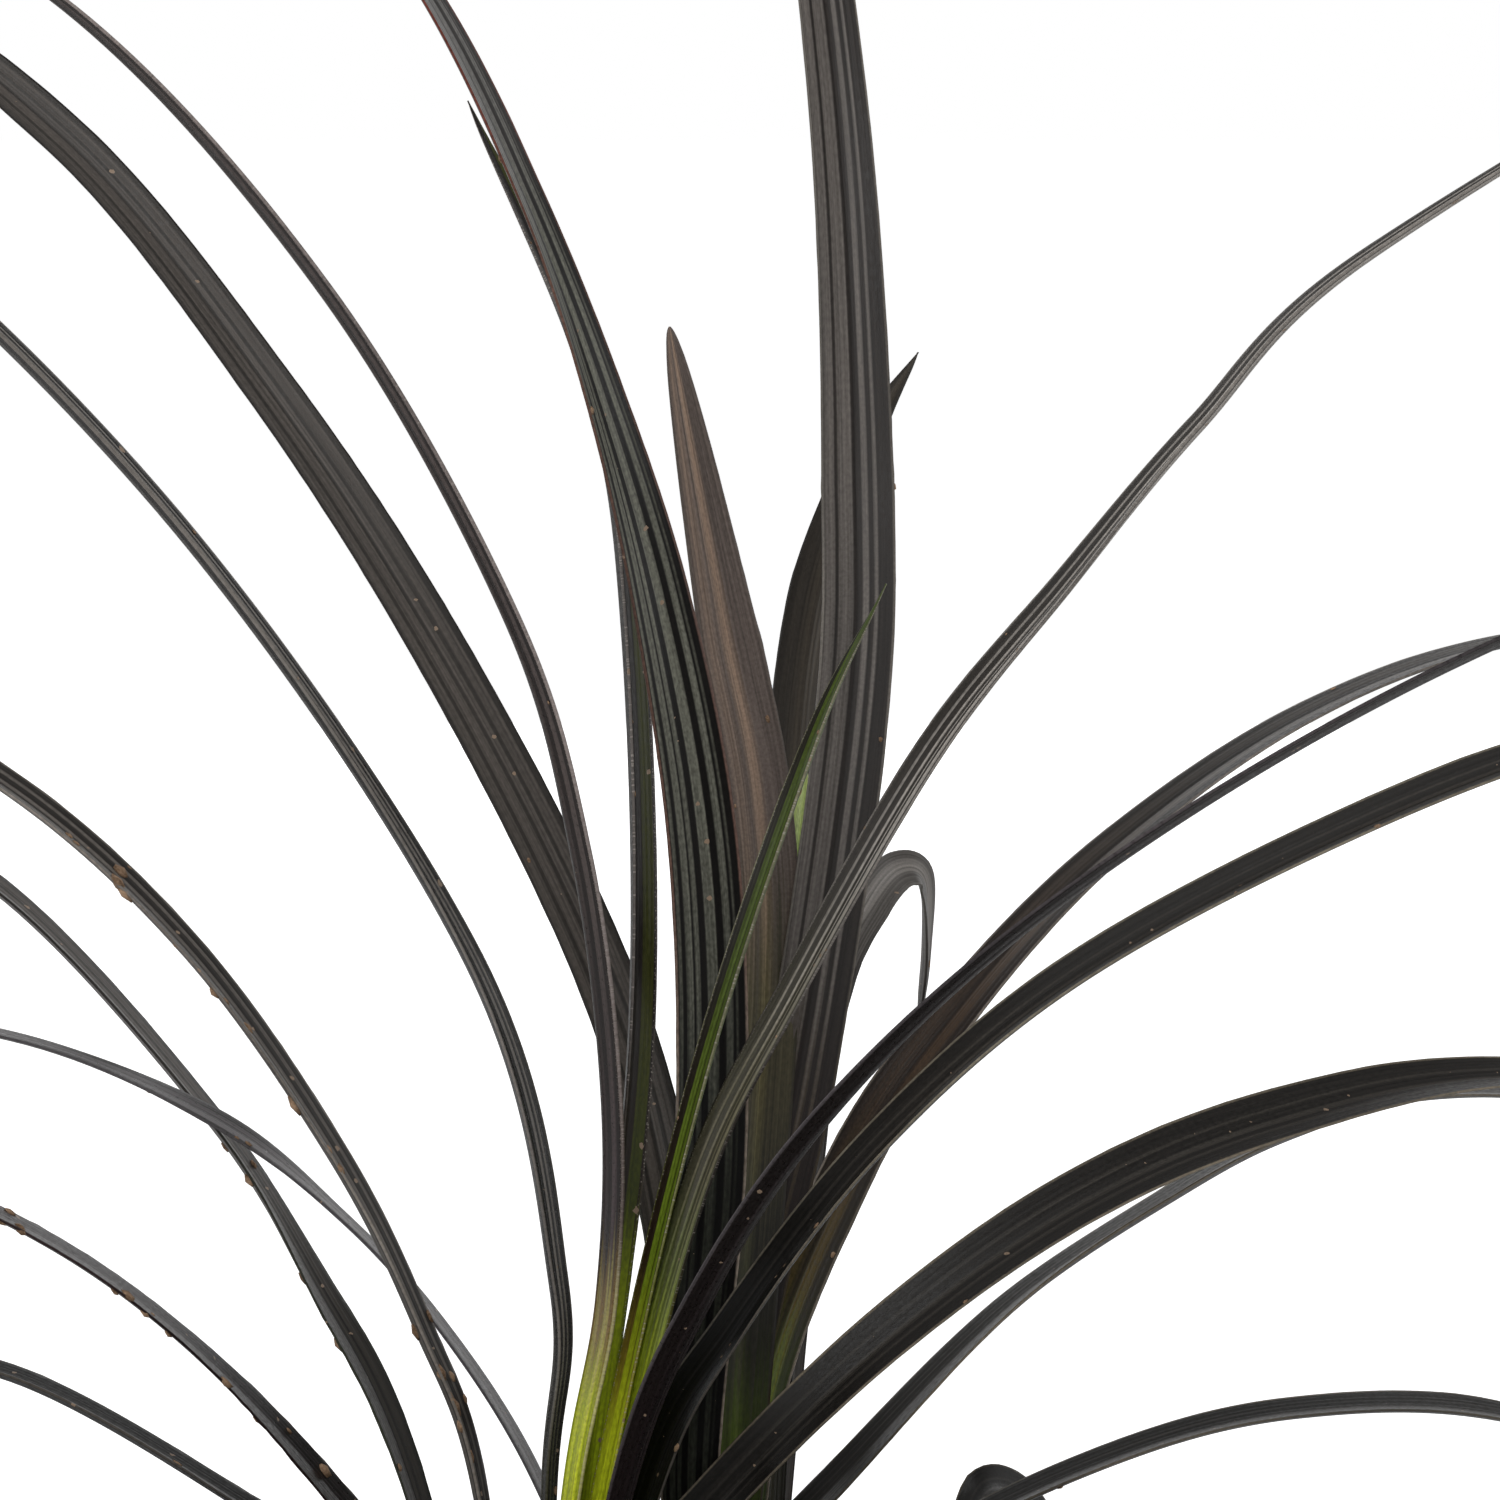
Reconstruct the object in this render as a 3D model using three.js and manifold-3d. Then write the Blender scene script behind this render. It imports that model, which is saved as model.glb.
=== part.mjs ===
// Black mondo grass: eight leafy shoots standing in potting soil in a round nursery pot.
//
// Millimetres, +Z up. The origin is the centre of the pot's underside. +X is to the right and +Y is
// to the back of the plant. Leaf points are heights above the soil, and the shoots are placed on it.

import * as THREE from 'three';
import { mergeVertices } from 'three/addons/utils/BufferGeometryUtils.js';
import Module from 'manifold-3d';

const wasm = await Module();
wasm.setup();

// Driving dimensions ---------------------------------------------------------------------------

const GAP = 0.3; // clearance between pieces that touch
const WELD = 1e-4; // points that are closer than this are one point
const OVERSHOOT = 1; // how far a cutting rod stands out of what it cuts

const POT = {
  height: 92,
  topRadius: 52.5,
  footRadius: 39,
  wall: 1.6,
  floor: 2,
  rimHeight: 9,
  rimStep: 2.2,
  drainHoles: 8,
  drainRadius: 3.5,
  drainCircle: 27,
  underEase: 0.5, // the rim's lower edge is drawn in
  topEase: 0.8, // and so is its upper edge
  holeSides: 16,
  sides: 48,
};

const SOIL = {
  level: 80, // height of the soil's surface above the pot's underside
  edgeDip: 2.5, // the soil is lower at the pot's wall
  lump: 0.4, // half height of the lumps
  waves: { x: [0.31, 1.7], y: [0.27, -0.6], both: [0.19, 0.4] }, // radians a millimetre, and start
  rings: [12, 24, 34, 42],
  sides: 36,
};

const CROWN = {
  depth: 13, // how far the stock reaches into the soil
  tipRadius: 1.2,
  profile: [[0.8, -6.5], [1, -1], [0.96, 3], [0.7, 6], [0, 8]], // share of radius, height
  sides: 10,
};

const BLADE = {
  thickness: 0.6,
  steps: 16,
  footWidth: 0.6, // share of the full width where the leaf clasps its neighbours
  footEnd: 0.25, // share of the length over which it widens
  tipStart: 0.7, // share of the length where it starts to taper
  tipPower: 0.8,
  tipWidth: 0.6,
  channel: 0.2, // depth of the fold along the midrib as a share of the width
};

// Each low leaf takes its own place between these limits, from its number.
const LOW_LEAF = {
  width: 4.4,
  widthSpread: 0.5,
  reach: [80, 104], // from the crown, measured level
  drop: [0, 44], // of the tip below the soil's surface
  rise: 21, // of the arch above the soil's surface
  backRise: 4, // less at the back, more at the front
  drift: 7, // of the tip to one side
  tilt: 14, // degrees that the blade leans
  climb: [[0, 0], [0.07, 0.5], [0.24, 0.9], [0.46, 1], [0.7, 0.7]], // share out, share of rise
  fall: [[0.88, 0.35], [1, 1]], // share out, share of drop
  steps: 9,
};
const LEAVES_APART = 7; // between the first numbers of one shoot's low leaves and the next's
const VARIETY = { reach: 0.618, drop: 0.382, width: 3.1, drift: 2.4, tilt: [1.9, 1.3] };

const SPEAR = { width: 2, turn: [45, 45], steps: 4 };

// Finishes -------------------------------------------------------------------------------------

/** A plain non-metal finish. */
const matt = (color, roughness) => new THREE.MeshStandardMaterial({ color, roughness });
const LEAF_BLACK = matt(0x2b2927, 0.45);
const LEAF_GREEN_FOOT = matt(0x38391f, 0.45);
const SOIL_BROWN = matt(0x33241a, 1);
const POT_BLACK = matt(0x1d1e1f, 0.55);

// Leaves ---------------------------------------------------------------------------------------
//
// route: points along the midrib, [x, y, height above the soil]
// width: full width of the blade
// turn:  degrees from facing the sky (0) to facing the front (90), from base to tip; a minus value
//        shows the underside to the front
// channel, tipStart, tipPower and steps stand for those of BLADE

const SHOOTS = [
  {
    name: 'shoot_front',
    finish: LEAF_GREEN_FOOT,
    crown: { x: -9.5, y: -8, radius: 4.2 },
    leaves: {
      slimLeft: {
        width: 3.5, channel: 0.22, turn: [12, 12, 13, 17, 8, 6, 5, 8, 10],
        route: [
          [-10, -7, 0], [-9.2, -6, 28], [-8.6, -5, 42], [-14.6, -5, 64.9], [-35.6, -8, 96.3],
          [-61.3, -15, 121.1], [-84, -24, 131], [-104, -33, 128],
        ],
      },
      foldedLeft: {
        width: 4.2, channel: 0.2, turn: [-20, -20, -16, -15, -15, -8, -4, -3, -5, -8],
        route: [
          [-10.5, -9, 0], [-7.8, -8, 27.3], [-5.3, -8, 41.3], [-4.9, -9, 55.7],
          [-7, -11, 72.9], [-11.6, -14, 89.3], [-24, -20, 111.9], [-41.4, -30, 131.7],
          [-62.1, -41, 142.7], [-85, -52, 144],
        ],
      },
      shortOlive: {
        width: 3.4, channel: 0.3, tipStart: 0.78, tipPower: 0.7, turn: [30, 30, 28, 22, 24, 34],
        route: [
          [-10, -7, 0], [-6.5, -7, 29], [-3, -5.5, 59], [-3.5, -2, 88], [-6.4, 3, 105],
          [-15, 10, 124.3],
        ],
      },
      youngGreen: {
        width: 2.4, channel: 0.25, turn: [28, 28, 26, 20],
        route: [
          [-10, -9, 0], [-5.1, -9, 28.9], [1.4, -10.5, 56.9], [9, -12, 80], [14.3, -13, 91.5],
        ],
      },
      longRight: {
        width: 3.6, channel: 0.18, turn: [36, 36, 30, 28, 29, 20, 10, 7, 5, 5],
        route: [
          [-9, -9.5, 0], [-3.8, -10, 29.9], [1.5, -12, 50.1], [7.9, -14.5, 63.3],
          [17.4, -17.5, 80.2], [26.4, -22, 91.9], [35.2, -27, 103], [46.6, -33.5, 114.9],
          [76.9, -41, 132.2], [99, -49, 134],
        ],
      },
      purpleRight: {
        width: 3.6, channel: 0.15, turn: [-36, -36, -32, -24, -12, -6, -5, -5, -5],
        route: [
          [-9, -10, 0], [-4, -13, 28], [1.5, -15, 42], [10, -18, 55], [23.5, -22, 68.4],
          [41.7, -30, 81.4], [60.8, -38, 91.5], [80.9, -46, 98.5], [102, -54, 98],
        ],
      },
      broadRight: {
        width: 4.8, channel: 0.22, turn: [38, 38, 24, 20, 21, 22, 22, 22, 22],
        route: [
          [-9, -8, 0], [-2.2, -7.5, 28], [3.8, -6, 39], [13.9, -2, 51.6], [27.3, 5, 62.5],
          [46.1, 15, 71.7], [65, 25, 78.1], [85, 34, 81], [106, 44, 77],
        ],
      },
      sweepRight: {
        width: 5.2, channel: 0.18, turn: [30, 34, 36, 40, 42, 38, 22, 18, 18],
        route: [
          [-9, -7, 0], [-5, -6, 17], [3, -4, 27], [15.2, 4, 37.8], [28.7, 17, 45.7],
          [43, 30, 50.2], [60, 44, 52], [80, 60, 48.5], [99, 75, 39],
        ],
      },
    },
    low: { from: 192, to: 262, count: 5 },
  },
  {
    name: 'shoot_middle',
    crown: { x: -2.5, y: 0, radius: 2.8 },
    leaves: {
      twistedLeft: {
        width: 3.4, channel: 0.06, turn: [10, 12, 10, 8, 6, 4, 15, 3, 3, 3, 5, 6],
        route: [
          [-3, 0.5, 0], [-5.5, 3, 15], [-10.4, 7, 27.3], [-16.7, 11, 36.8], [-23.9, 14, 44.5],
          [-33.4, 15.5, 51.7], [-48, 18, 57.3], [-65, 26, 58], [-82, 34, 52.5], [-97, 42, 43],
        ],
      },
      tuckedRight: {
        width: 4.4, channel: 0.14, turn: [20, 24, 24, 18, 4, 4, 4, 6, 8],
        route: [
          [-2, -0.5, 0], [1.5, -1.5, 12], [6, 1, 21.4], [12.1, 6, 27.9], [23.7, 17, 38.3],
          [36.1, 28, 45.3], [44.5, 40, 48.2], [55, 55, 49.5], [67.5, 68, 47.5], [80, 80, 41],
        ],
      },
    },
  },
  {
    name: 'shoot_centre',
    crown: { x: 2.5, y: 8, radius: 3.6 },
    leaves: {
      stripedFront: {
        width: 5.3, channel: 0.12, turn: [84, 80, 72, 66, 49, 29, 17, 16, 12, 10],
        route: [
          [2, 5.5, 0], [0.6, 2, 26], [2.1, -1.5, 51.1], [1.6, -5, 71.8], [-1.3, -10, 89.5],
          [-5.3, -15, 104.3], [-10.2, -21, 118.1], [-16.8, -30, 132.1], [-26, -42, 145],
          [-39, -56, 153],
        ],
      },
      broadLeft: {
        width: 4.3, channel: 0.12, tipStart: 0.77, turn: [80, 80, 62, 45, 45],
        route: [
          [1.5, 9, 0], [1.3, 10, 25], [-1, 14, 45.9], [-6, 20, 62.5], [-17.6, 31, 84.1],
          [-30.4, 43, 102.7], [-46.2, 57, 120.8], [-66, 73, 133], [-91, 92, 133],
        ],
      },
      blunt: {
        width: 5.0, channel: 0.12, tipStart: 0.77, tipPower: 0.52, turn: [70, 62, 60, 60, 60],
        route: [
          [2.5, 7.5, 0], [4, 8, 32], [6, 8.5, 61], [5.5, 9, 75], [3, 9.5, 88],
          [-0.8, 12, 108.3],
        ],
      },
      tall: {
        width: 5.2, channel: 0.12, tipStart: 0.5, tipPower: 0.7, turn: [70, 78, 86, 82, 70, 60],
        route: [
          [3, 9, 0], [3.9, 9.5, 32], [8.5, 9.5, 56], [12, 10, 80], [12.5, 10.5, 97],
          [11, 13, 125], [6, 25, 161], [0, 40, 186], [-8, 60, 204],
        ],
      },
      limeTip: {
        width: 2.4, channel: 0.1, tipStart: 0.85, tipPower: 0.5, turn: [40, 40, 40],
        route: [
          [3, 9, 0], [5, 10.5, 43], [8.9, 11, 77],
        ],
      },
      lowRight: {
        width: 4.0, channel: 0.18, turn: [8, 12, 11, 14],
        route: [
          [3.5, 7, 0], [8.5, 9.5, 13], [18, 16, 21], [32.1, 28, 26.1], [45, 39, 27.8],
          [60, 52, 26.1], [76, 64, 19.5], [91, 76, 8],
        ],
      },
    },
  },
  {
    name: 'shoot_back',
    crown: { x: 5, y: 18, radius: 3.2 },
    leaves: {
      farRight: {
        width: 4.8, channel: 0.1, turn: [60, 48, 24, 6, 6],
        route: [
          [4.5, 17, 0], [5.2, 17, 28.3], [12, 22, 47], [20.2, 30, 58.4], [31.2, 42, 68.7],
          [45.9, 55, 77.7], [62, 67, 82.6], [82, 82, 83], [104, 98, 77],
        ],
      },
      hidden: {
        width: 4.8, channel: 0.12, tipStart: 0.62, turn: [60, 60, 60, 60, 58, 55, 50, 45],
        route: [
          [5, 18, 0], [6.2, 22, 30.7], [7.1, 28, 55.4], [8.1, 34, 73.1], [9.4, 38, 85.2],
          [11.7, 42, 94.1], [14.3, 46, 100.2], [17.3, 50, 105],
        ],
      },
      kinked: {
        width: 3.6, channel: 0.12, tipStart: 0.92, tipPower: 0.6, steps: 26,
        turn: [60, 60, 56, 54, 54, 50, 20, 5, 4],
        route: [
          [5, 19, 0], [7.4, 34, 29.3], [9.4, 46, 49.6], [11.4, 53, 58.7], [13.9, 56, 63.5],
          [16, 58, 65.9], [17.9, 59.5, 65.2], [18.1, 60.5, 60], [17.5, 61.5, 53.5],
        ],
      },
      bent: {
        width: 4.2, channel: 0.12, steps: 20, turn: [25, 30, 30, 30, 30, 25, 20, 20],
        route: [
          [5.5, 19, 0], [10.5, 31, 9.5], [15.5, 44, 14.5], [20.2, 58, 15.2], [23.1, 68, 18.3],
          [26.3, 73, 16.4], [29, 77, 11.7], [30.8, 81, 5],
        ],
      },
    },
    low: { from: 46, to: 104, count: 4 },
  },
  {
    name: 'shoot_left',
    crown: { x: -12, y: 5, radius: 3.4 },
    leaves: {
      ribbed: {
        width: 4.4, channel: 0.18, turn: [10, 8, 14, 14, 12],
        route: [
          [-11.5, 4.5, 0], [-14.2, 4.5, 26], [-18.3, 5, 37.9], [-24.4, 8, 49.7],
          [-34.9, 11, 64.1], [-48, 16, 75.4], [-65, 23, 83.5], [-84, 30, 85], [-104, 38, 79],
        ],
      },
      rearLeft: {
        width: 4.4, channel: 0.14, turn: [22, 24, 20, 8, 7, 7, 7, 8, 10],
        route: [
          [-12, 6.5, 0], [-19.6, 12, 27], [-26.1, 17, 39.5], [-33.9, 22, 51.2],
          [-49.5, 32, 66.7], [-66, 42, 74], [-84, 53, 73], [-101, 64, 64],
        ],
      },
      toothed: {
        width: 3.5, channel: 0.1, turn: [24, 24, 20, 7, 3, 3, 3, 3],
        route: [
          [-12, 3.5, 0], [-16.8, -3, 16.8], [-24.9, -9, 28.8], [-33.6, -19, 39.5],
          [-42.6, -30, 47.7], [-52.6, -42, 53.7], [-62.4, -54, 55.8], [-71.8, -66, 53.7],
        ],
      },
      lowLeft: {
        width: 4.2, channel: 0.15, turn: [12, 12, 10, 5, 3, 3, 4, 6, 8],
        route: [
          [-12.5, 5.5, 0], [-20.5, 6, 17], [-31.4, 8, 25.2], [-48.7, 15, 33.6], [-63, 21, 33],
          [-78, 28, 28.5], [-93, 34, 17.5],
        ],
      },
    },
    low: { from: 166, to: 186, count: 3 },
  },
  {
    name: 'shoot_front_right',
    crown: { x: 6, y: -10, radius: 3 },
    spears: [[0.6, 0.4, 21], [-0.8, 0.6, 15]],
    low: { from: 268, to: 342, count: 6 },
  },
  {
    name: 'shoot_back_left',
    crown: { x: -8, y: 16, radius: 3 },
    spears: [[0.4, -0.6, 16], [-0.8, 0.2, 11]],
    low: { from: 104, to: 160, count: 5 },
  },
  {
    name: 'shoot_right',
    crown: { x: 14, y: 1, radius: 3 },
    spears: [[-0.5, 0.5, 17], [0.8, -0.4, 12]],
    low: { from: -14, to: 30, count: 4 },
  },
];

// Solids ---------------------------------------------------------------------------------------

/** A closed mesh as a solid that can be cut and joined. */
function solidOf(geometry) {
  const bare = geometry.index ? geometry.clone() : geometry;
  bare.deleteAttribute('normal');
  bare.deleteAttribute('uv');
  const merged = mergeVertices(bare, WELD);
  return new wasm.Manifold(new wasm.Mesh({
    numProp: 3,
    vertProperties: new Float32Array(merged.attributes.position.array),
    triVerts: new Uint32Array(merged.index.array),
  }));
}

/** The solid with the small voids that crossing leaves shut off filled in. */
function filled(solid) {
  const larger = (one, other) => (other.volume() > one.volume() ? other : one);
  return solid.decompose().reduce(larger);
}

/** A solid's triangles as a geometry again. */
function geometryOf(solid) {
  const mesh = solid.getMesh();
  const geometry = new THREE.BufferGeometry();
  geometry.setAttribute('position', new THREE.BufferAttribute(new Float32Array(mesh.vertProperties), 3));
  geometry.setIndex(Array.from(mesh.triVerts));
  geometry.computeVertexNormals();
  return geometry;
}

/** A body of revolution about +Z from [radius, height] points that start and end on the axis. */
function turned(profile, sides) {
  const points = profile.map(([radius, height]) => new THREE.Vector2(radius, height));
  return new THREE.LatheGeometry(points, sides).rotateX(Math.PI / 2);
}

/** A plain upright rod, for holes. */
function rod(x, y, bottom, top, radius, sides) {
  return new THREE.CylinderGeometry(radius, radius, top - bottom, sides)
    .rotateX(Math.PI / 2)
    .translate(x, y, (top + bottom) / 2);
}

/** A value between the numbers of a list that are spread evenly from 0 to 1. */
function along(list, share) {
  const place = share * (list.length - 1);
  const index = Math.min(Math.floor(place), list.length - 2);
  return THREE.MathUtils.lerp(list[index], list[index + 1], place - index);
}

/** Fractions that are spread evenly and look random. */
function scatter(index, step) {
  return (index * step) % 1;
}

// Pot ------------------------------------------------------------------------------------------

/** Outer radius of the pot's wall at a height. */
function potRadius(height) {
  return THREE.MathUtils.lerp(POT.footRadius, POT.topRadius - POT.rimStep, height / POT.height);
}

function buildPot() {
  const underRim = POT.height - POT.rimHeight;
  const innerTop = potRadius(POT.height) - POT.wall;
  const innerFoot = potRadius(POT.floor) - POT.wall;
  let pot = solidOf(turned([
    [0, 0],
    [POT.footRadius, 0],
    [potRadius(underRim), underRim],
    [POT.topRadius - POT.underEase, underRim],
    [POT.topRadius, POT.height - POT.topEase],
    [POT.topRadius - POT.topEase, POT.height],
    [innerTop, POT.height],
    [innerFoot, POT.floor],
    [0, POT.floor],
  ], POT.sides));
  for (let hole = 0; hole < POT.drainHoles; hole += 1) {
    const angle = (2 * Math.PI * hole) / POT.drainHoles;
    const x = POT.drainCircle * Math.cos(angle);
    const y = POT.drainCircle * Math.sin(angle);
    const top = POT.floor + OVERSHOOT;
    pot = pot.subtract(solidOf(rod(x, y, -OVERSHOOT, top, POT.drainRadius, POT.holeSides)));
  }
  return pot;
}

// Soil -----------------------------------------------------------------------------------------

/** Height of the soil's lumpy surface. */
function soilHeight(x, y) {
  const wave = (place, [rate, start]) => rate * place + start;
  const { x: rateX, y: rateY, both } = SOIL.waves;
  const lumps = Math.sin(wave(x, rateX)) * Math.cos(wave(y, rateY)) + Math.sin(wave(x + y, both));
  const dip = SOIL.edgeDip * (Math.hypot(x, y) / POT.topRadius) ** 4;
  return SOIL.level + SOIL.lump * lumps - dip;
}

function buildSoil() {
  const bottom = POT.floor + GAP;
  const wallRadius = (height) => potRadius(height) - POT.wall - 2 * GAP;
  const rim = wallRadius(SOIL.level - SOIL.edgeDip);
  const profile = [[0, bottom], [wallRadius(bottom), bottom], [rim, SOIL.level - SOIL.edgeDip]];
  for (const radius of [...SOIL.rings].reverse()) {
    profile.push([radius, SOIL.level]);
  }
  profile.push([0, SOIL.level]);
  const geometry = turned(profile, SOIL.sides);
  const position = geometry.attributes.position;
  for (let index = 0; index < position.count; index += 1) {
    if (position.getZ(index) > bottom + GAP) {
      position.setZ(index, soilHeight(position.getX(index), position.getY(index)));
    }
  }
  let soil = solidOf(geometry);
  for (const { crown } of SHOOTS) {
    const floor = SOIL.level - CROWN.depth - GAP;
    soil = soil.subtract(solidOf(
      rod(crown.x, crown.y, floor, POT.height, crown.radius + GAP, 2 * CROWN.sides),
    ));
  }
  return soil;
}

// Shoots ---------------------------------------------------------------------------------------

/** The short stock of a shoot, narrow at the foot and rounded on top. */
function buildCrown({ x, y, radius }) {
  return solidOf(turned([
    [0, -CROWN.depth],
    [CROWN.tipRadius, -CROWN.depth],
    ...CROWN.profile.map(([share, height]) => [share * radius, height]),
  ], CROWN.sides).translate(x, y, 0));
}

/** Width of a blade at a share of its length. */
function bladeWidth({ width, tipStart, tipPower }, share) {
  const foot = THREE.MathUtils.smoothstep(share, 0, BLADE.footEnd);
  const body = width * THREE.MathUtils.lerp(BLADE.footWidth, 1, foot);
  const left = Math.min(1, Math.max(0, 1 - share) / (1 - tipStart));
  return Math.max(BLADE.tipWidth, body * left ** tipPower);
}

/**
 * One strap leaf: a folded strip of even thickness along its midrib. `front` is the level
 * direction that `turn` measures to.
 */
function buildBlade(leaf, front = new THREE.Vector3(0, -1, 0)) {
  const { route, turn, channel, steps, ...taper } = { ...BLADE, ...leaf };
  const curve = new THREE.CatmullRomCurve3(
    route.map((point) => new THREE.Vector3(...point)), false, 'catmullrom', 0.5,
  );
  const heading = curve.getPoint(1).sub(curve.getPoint(0)).setZ(0);
  const right = front.clone().cross(new THREE.Vector3(0, 0, 1));
  const hand = right.dot(heading) < 0 ? 1 : -1;
  const vertices = [];
  for (let step = 0; step <= steps; step += 1) {
    const share = step / steps;
    const centre = curve.getPoint(share);
    const tangent = curve.getTangent(share);
    const sky = front.clone().cross(tangent).multiplyScalar(hand).normalize();
    const side = front.clone().addScaledVector(tangent, -front.dot(tangent)).normalize();
    const angle = THREE.MathUtils.degToRad(along(turn, share));
    const up = sky.multiplyScalar(Math.cos(angle)).addScaledVector(side, Math.sin(angle));
    const across = tangent.clone().cross(up);
    const full = bladeWidth(taper, share);
    const half = full / 2;
    const fold = (Math.max(0, full - BLADE.tipWidth) * channel) / 2;
    const skin = (BLADE.thickness / 2) * Math.hypot(1, (2 * fold) / half);
    const section = [
      [-half, fold + skin], [0, skin - fold], [half, fold + skin],
      [half, fold - skin], [0, -fold - skin], [-half, fold - skin],
    ];
    for (const [offset, height] of section) {
      vertices.push(centre.clone().addScaledVector(across, offset).addScaledVector(up, height));
    }
  }
  return solidOf(stripGeometry(vertices, 6));
}

/** Skin of a strip whose rings have `size` points each; facing faces are split the same way. */
function stripGeometry(vertices, size) {
  const rings = vertices.length / size;
  const last = (rings - 1) * size;
  const faces = [];
  for (let ring = 0; ring < rings - 1; ring += 1) {
    for (let corner = 0; corner < size; corner += 1) {
      const next = (corner + 1) % size;
      const a = ring * size + corner;
      const b = ring * size + next;
      if (corner < size / 2) {
        faces.push(a, b, b + size, a, b + size, a + size);
      } else {
        faces.push(a, b, a + size, b, b + size, a + size);
      }
    }
  }
  for (const [left, right, below, underneath] of [[0, 1, 4, 5], [1, 2, 3, 4]]) {
    faces.push(left, below, right, left, underneath, below);
    faces.push(last + left, last + right, last + below, last + left, last + below, last + underneath);
  }
  const geometry = new THREE.BufferGeometry().setFromPoints(vertices);
  geometry.setIndex(faces);
  return geometry;
}

/** A low leaf that arches out over the rim and hangs outside the pot. */
function lowLeaf(crown, degrees, index) {
  const angle = THREE.MathUtils.degToRad(degrees);
  const out = new THREE.Vector2(Math.cos(angle), Math.sin(angle));
  const reach = THREE.MathUtils.lerp(...LOW_LEAF.reach, scatter(index, VARIETY.reach));
  const drop = THREE.MathUtils.lerp(...LOW_LEAF.drop, scatter(index, VARIETY.drop));
  const rise = LOW_LEAF.rise - LOW_LEAF.backRise * out.y;
  const drift = LOW_LEAF.drift * Math.sin(VARIETY.drift * index);
  const arch = [
    ...LOW_LEAF.climb.map(([share, height]) => [share, height * rise]),
    ...LOW_LEAF.fall.map(([share, height]) => [share, -height * drop]),
  ];
  const route = arch.map(([share, height]) => [
    crown.x + reach * share * out.x - drift * share * share * out.y,
    crown.y + reach * share * out.y + drift * share * share * out.x,
    height,
  ]);
  const [first, last] = VARIETY.tilt;
  const turn = [LOW_LEAF.tilt * Math.sin(first * index), LOW_LEAF.tilt * Math.cos(last * index)];
  const width = LOW_LEAF.width + LOW_LEAF.widthSpread * Math.sin(VARIETY.width * index);
  const front = new THREE.Vector3(out.y, -out.x, 0);
  return buildBlade({ route, width, turn, steps: LOW_LEAF.steps }, front);
}

/** A new leaf that is still a rolled point, leaning more as it rises. */
function spear(crown, [leanX, leanY, height]) {
  const route = [
    [crown.x, crown.y, 0],
    [crown.x + leanX, crown.y + leanY, height / 2],
    [crown.x + 3 * leanX, crown.y + 3 * leanY, height],
  ];
  return buildBlade({ ...SPEAR, route });
}

function buildShoot({ crown, leaves = {}, spears = [], low }, seed) {
  let shoot = buildCrown(crown);
  for (const leaf of Object.values(leaves)) {
    shoot = shoot.add(buildBlade(leaf));
  }
  for (const tip of spears) {
    shoot = shoot.add(spear(crown, tip));
  }
  for (let index = 0; index < (low?.count ?? 0); index += 1) {
    const share = (index + 0.5) / low.count;
    const degrees = THREE.MathUtils.lerp(low.from, low.to, share);
    shoot = shoot.add(lowLeaf(crown, degrees, seed + index));
  }
  return filled(shoot);
}

// Assembly -------------------------------------------------------------------------------------

function named(name, solid, material) {
  const mesh = new THREE.Mesh(geometryOf(solid), material);
  mesh.name = name;
  return mesh;
}

const plant = new THREE.Group();
plant.position.z = SOIL.level;
SHOOTS.forEach((shoot, index) => {
  const finish = shoot.finish ?? LEAF_BLACK;
  plant.add(named(shoot.name, buildShoot(shoot, LEAVES_APART * index), finish));
});

const pottedPlant = new THREE.Group();
pottedPlant.add(named('pot', buildPot(), POT_BLACK));
pottedPlant.add(named('soil', buildSoil(), SOIL_BROWN));
pottedPlant.add(plant);

export default pottedPlant;
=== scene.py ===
"""Black mondo grass: eight leafy shoots in potting mix in a round nursery pot.

Sizes are in millimetres above the pot's underside, or above the soil for leaves, and MM turns them
to metres when a mesh is made. +X is to the right and +Y is to the back of the plant.
"""

import logging
import math
import random
from dataclasses import dataclass, field
from enum import Enum
from typing import Any

import bmesh
import bpy
import numpy as np
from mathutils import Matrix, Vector


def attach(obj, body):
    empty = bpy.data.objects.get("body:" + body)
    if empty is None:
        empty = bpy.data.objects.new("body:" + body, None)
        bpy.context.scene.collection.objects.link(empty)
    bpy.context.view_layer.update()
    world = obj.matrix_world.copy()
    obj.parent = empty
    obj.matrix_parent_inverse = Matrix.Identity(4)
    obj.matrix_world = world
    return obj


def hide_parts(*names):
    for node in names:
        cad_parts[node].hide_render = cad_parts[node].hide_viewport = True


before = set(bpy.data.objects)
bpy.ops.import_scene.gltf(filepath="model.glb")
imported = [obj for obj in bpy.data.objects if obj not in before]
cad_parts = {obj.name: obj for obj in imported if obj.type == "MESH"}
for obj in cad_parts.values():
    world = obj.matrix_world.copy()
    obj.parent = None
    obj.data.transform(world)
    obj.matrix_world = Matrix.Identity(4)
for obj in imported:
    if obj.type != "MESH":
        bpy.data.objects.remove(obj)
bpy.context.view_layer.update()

LOG = logging.getLogger("mondo_grass")

MM = 0.001
SOIL_LEVEL = 80.0  # of the potting mix above the pot's underside
SHARE_MAP = "share"  # UV map of a leaf: share across, share along
SIZE_MAP = "millimetres"  # UV map of a leaf: millimetres across, millimetres along
SECTION_TOP = 25  # points across the upper face of a leaf
SECTION_UNDER = 15  # points across its underside
LEAF_SHIFT = 431.0  # millimetres between the patterns of one leaf and the next
LEAF_SHIFTS = 97  # the number of such shifts

Point = tuple[float, float, float]
Colour = tuple[float, float, float, float]
Tree = bpy.types.NodeTree
Socket = bpy.types.NodeSocket
Material = bpy.types.Material


# Nodes and colours ----------------------------------------------------------------------------

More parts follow.
